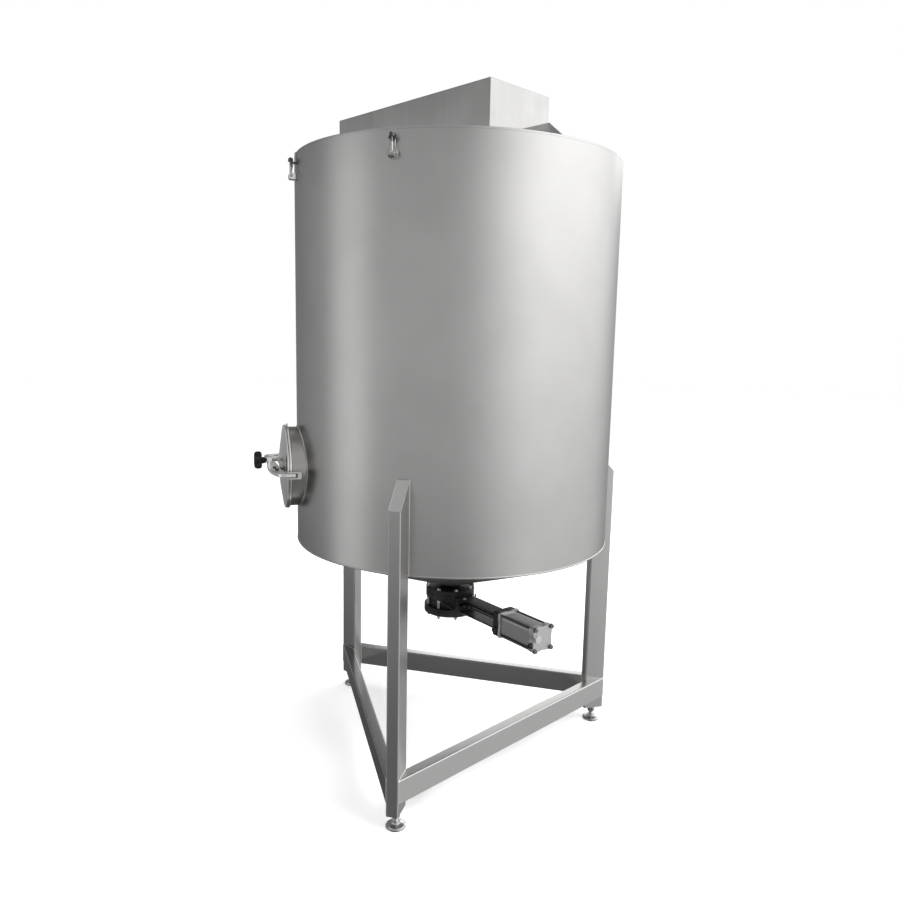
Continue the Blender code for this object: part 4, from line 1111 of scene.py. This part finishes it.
boltPlaces = [valveFrame @ spin((i + 0.5) * 360 / valveSizes["bolts"])
              @ shift(valveSizes["boltCircle"], 0, 0) for i in range(valveSizes["bolts"])]
fasteners = []
for boltNumber, boltPlace in enumerate(boltPlaces):
    fasteners += placed(screwHead(valveSizes["boltCorner"], valveSizes["boltHead"]),
                        boltPlace @ shift(0, 0, 0.752))
    if boltNumber not in (0, 7):  # those two end in the chest, above the blade
        fasteners.append(thread(0.0075, 0.6655, 0.7305).at(boltPlace))
        fasteners.append(hexagon(valveSizes["boltCorner"], 0.6935, 0.7030).at(boltPlace))
    fasteners.append(thread(0.0056, 0.6135, 0.6320).at(boltPlace))
    fasteners.append(hexagon(valveSizes["boltCorner"], 0.6215, 0.6310).at(boltPlace))
makePiece("flange_bolts", fasteners, "tank", finishes["bolts"], sharp=40)


def bladeShapes():
    # the blade with its round nose, the rod that draws it, and the nuts that join them
    outline = np.concatenate([arc(0.038, 90, 270, 48), [(0.050, -0.038), (0.070, -0.028), (0.150, -0.028),
                              (0.150, 0.028), (0.070, 0.028), (0.050, 0.038)]])
    blade = slab(outline, -0.004, 0.004, 0.0012)
    drawRod = rod(0.010, 0.147, 0.470, 0.001, 48)
    nuts = [hexagon(0.0165, 0.150, 0.162), hexagon(0.0165, 0.1635, 0.173)]
    return [blade, drawRod.at(alongOut)] + [n.at(alongOut) for n in nuts]


makePiece("gate_and_rod", placed(bladeShapes(), gateFrame), "gate", finishes["darkSteel"],
          ["gate_blade"])
print("valve made")


# Yoke and air cylinder

yokeSizes = {"start": 0.1213, "end": 0.372, "half": 0.035, "plate": 0.006, "edge": 0.0015,
             "corner": 0.003}
yokeMiddle = (yokeSizes["start"] + yokeSizes["end"]) / 2
yokeOutline = roundedBox((yokeSizes["end"] - yokeSizes["start"]) / 2, yokeSizes["half"],
                         yokeSizes["corner"]) + (yokeMiddle, 0)
for yokeName, yokeSide in (("top", 1), ("bottom", -1)):
    yokeLow, yokeHigh = sorted((yokeSide * yokeSizes["half"],
                                yokeSide * (yokeSizes["half"] - yokeSizes["plate"])))
    yokePlate = slab(yokeOutline, yokeLow, yokeHigh, yokeSizes["edge"]).at(gateFrame)
    makePiece(f"yoke_plate_{yokeName}", [yokePlate], "tank", finishes["enamel"],
              [f"yoke_{yokeName}"])

# the ends and half widths come from the solids
cylinderSizes = {"plateCorner": 0.010, "plateEdge": 0.0015, "capDish": 0.003, "capCorner": 0.009,
                 "capEdge": 0.0012, "barrelCorner": 0.018, "tieRod": 0.0050, "tiePlace": 0.0448}


def capOutline(half, dish, corner, steps=10):
    # a square whose sides bow inward by dish as a cosine, so that its corners stand out as ears
    t = np.linspace(-1, 1, 2 * steps + 1)
    bow = dish * np.cos(np.pi / 2 * np.clip(np.abs(t) / 0.62, 0, 1)) ** 2
    straight = (half - corner) * t
    side = np.stack([half - bow, straight], axis=1)
    quarter = arc(corner, 0, 90, 4, (half - corner, half - corner))[1:-1]
    one = np.concatenate([side, quarter])
    return np.concatenate([one @ spin(turn)[:2, :2].T for turn in (0, 90, 180, 270)])


def alongGate(shapes):
    return placed(shapes, gateFrame @ alongOut)


def stretch(nodeName):
    # where a solid starts and ends along the gate's line, and its half width
    low, high = localBox(nodeName, azimuths["valve"])
    return low[0], high[0], high[1]


plateLow, plateHigh, plateHalf = stretch("cylinder_plate")
plateOutline = roundedBox(plateHalf, plateHalf, cylinderSizes["plateCorner"])
makePiece("mounting_plate", alongGate([slab(plateOutline, plateLow, plateHigh,
                                            cylinderSizes["plateEdge"])]),
          "tank", finishes["enamel"], ["cylinder_plate"])
for capName in ("front_cap", "end_cap"):
    capLow, capHigh, capHalf = stretch(f"cylinder_{capName}")
    outline = capOutline(capHalf, cylinderSizes["capDish"], cylinderSizes["capCorner"])
    makePiece(capName, alongGate([slab(outline, capLow, capHigh, cylinderSizes["capEdge"])]), "tank",
              finishes["aluminium"], [f"cylinder_{capName}"])
endLow, endHigh, endHalf = stretch("cylinder_end_cap")
barrelLow, barrelHigh, barrelHalf = stretch("cylinder_barrel")
barrelOutline = roundedBox(barrelHalf, barrelHalf, cylinderSizes["barrelCorner"], 8)
makePiece("barrel", alongGate([slab(barrelOutline, barrelLow, barrelHigh)]), "tank",
          finishes["barrel"], ["cylinder_barrel"])

tieShapes = []
for tieTurn in (45, 135, 225, 315):
    tie = cylinderSizes["tiePlace"] * math.sqrt(2)
    tiePlace = spin(tieTurn) @ shift(tie, 0, 0) @ spin(-tieTurn)
    tieShapes += placed([rod(cylinderSizes["tieRod"], plateHigh, endHigh - 0.002, 0.0004, 16)], tiePlace)
makePiece("tie_rods", alongGate(tieShapes), "tank", finishes["darkSteel"])
capNuts = []
for nutY in (-1, 1):
    for nutZ in (-1, 1):
        corner = shift(0, nutY * cylinderSizes["tiePlace"], nutZ * cylinderSizes["tiePlace"])
        capNuts += [s.at(corner @ shift(endHigh, 0, 0) @ alongOut) for s in screwHead(0.0098, 0.0085)]
        capNuts.append(thread(0.0040, endHigh, endHigh + 0.0115, 0.0012, 0.12, 12).at(corner @ alongOut))
makePiece("cap_nuts", placed(capNuts, gateFrame), "tank", finishes["darkNuts"], sharp=40)

portSizes = {"plugSide": -0.031, "plugRise": 0.004, "plug": 0.0180, "plugTall": 0.010}
plug = [hexagon(portSizes["plug"], endHigh - 0.0005, endHigh + portSizes["plugTall"], False)]
plugPlace = gateFrame @ shift(0, portSizes["plugSide"], portSizes["plugRise"]) @ alongOut
makePiece("end_plug", placed(plug, plugPlace), "tank", finishes["turned"],
          sharp=40)


def sidePort(out, half):
    # a collar and a short open nozzle that stand out of the near side of a cap or plate
    collar = lathe(eased([(0.006, 0.0), (0.0130, 0.0), (0.0130, 0.008), (0.006, 0.008)], 0.0008, 2), 32)
    nut = lathe(eased([(0.0055, 0.007), (0.0095, 0.007), (0.0095, 0.013), (0.0055, 0.013)], 0.0008, 2), 32)
    faceOut = np.array([[1, 0, 0, out], [0, 0, -1, -half], [0, 1, 0, -0.024], [0, 0, 0, 1.0]])
    return placed([collar, nut], gateFrame @ faceOut)


makePiece("air_ports", sidePort((endLow + endHigh) / 2, endHalf - 0.003)
          + sidePort((plateLow + plateHigh) / 2, plateHalf), "tank", finishes["darkSteel"],
          sharp=40)
plateBolts = []
for boltSide in (-0.026, 0.026):
    for boltRise in (0.035, -0.035):
        headUp = 1 if boltRise > 0 else -1
        for boltOut in (0.142, 0.352):
            turnOver = np.diag([1.0, headUp, headUp, 1.0])
            plateBolts += placed(screwHead(0.0072, 0.005),
                                 gateFrame @ shift(boltOut, boltSide, boltRise) @ turnOver)
makePiece("yoke_bolts", plateBolts, "tank", finishes["bolts"], sharp=40)
print("cylinder made")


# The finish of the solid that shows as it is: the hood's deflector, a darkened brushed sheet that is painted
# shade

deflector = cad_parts["hood_deflector"].data
deflector.materials.clear()
deflector.materials.append(finishes["paintedShadeSheet"])
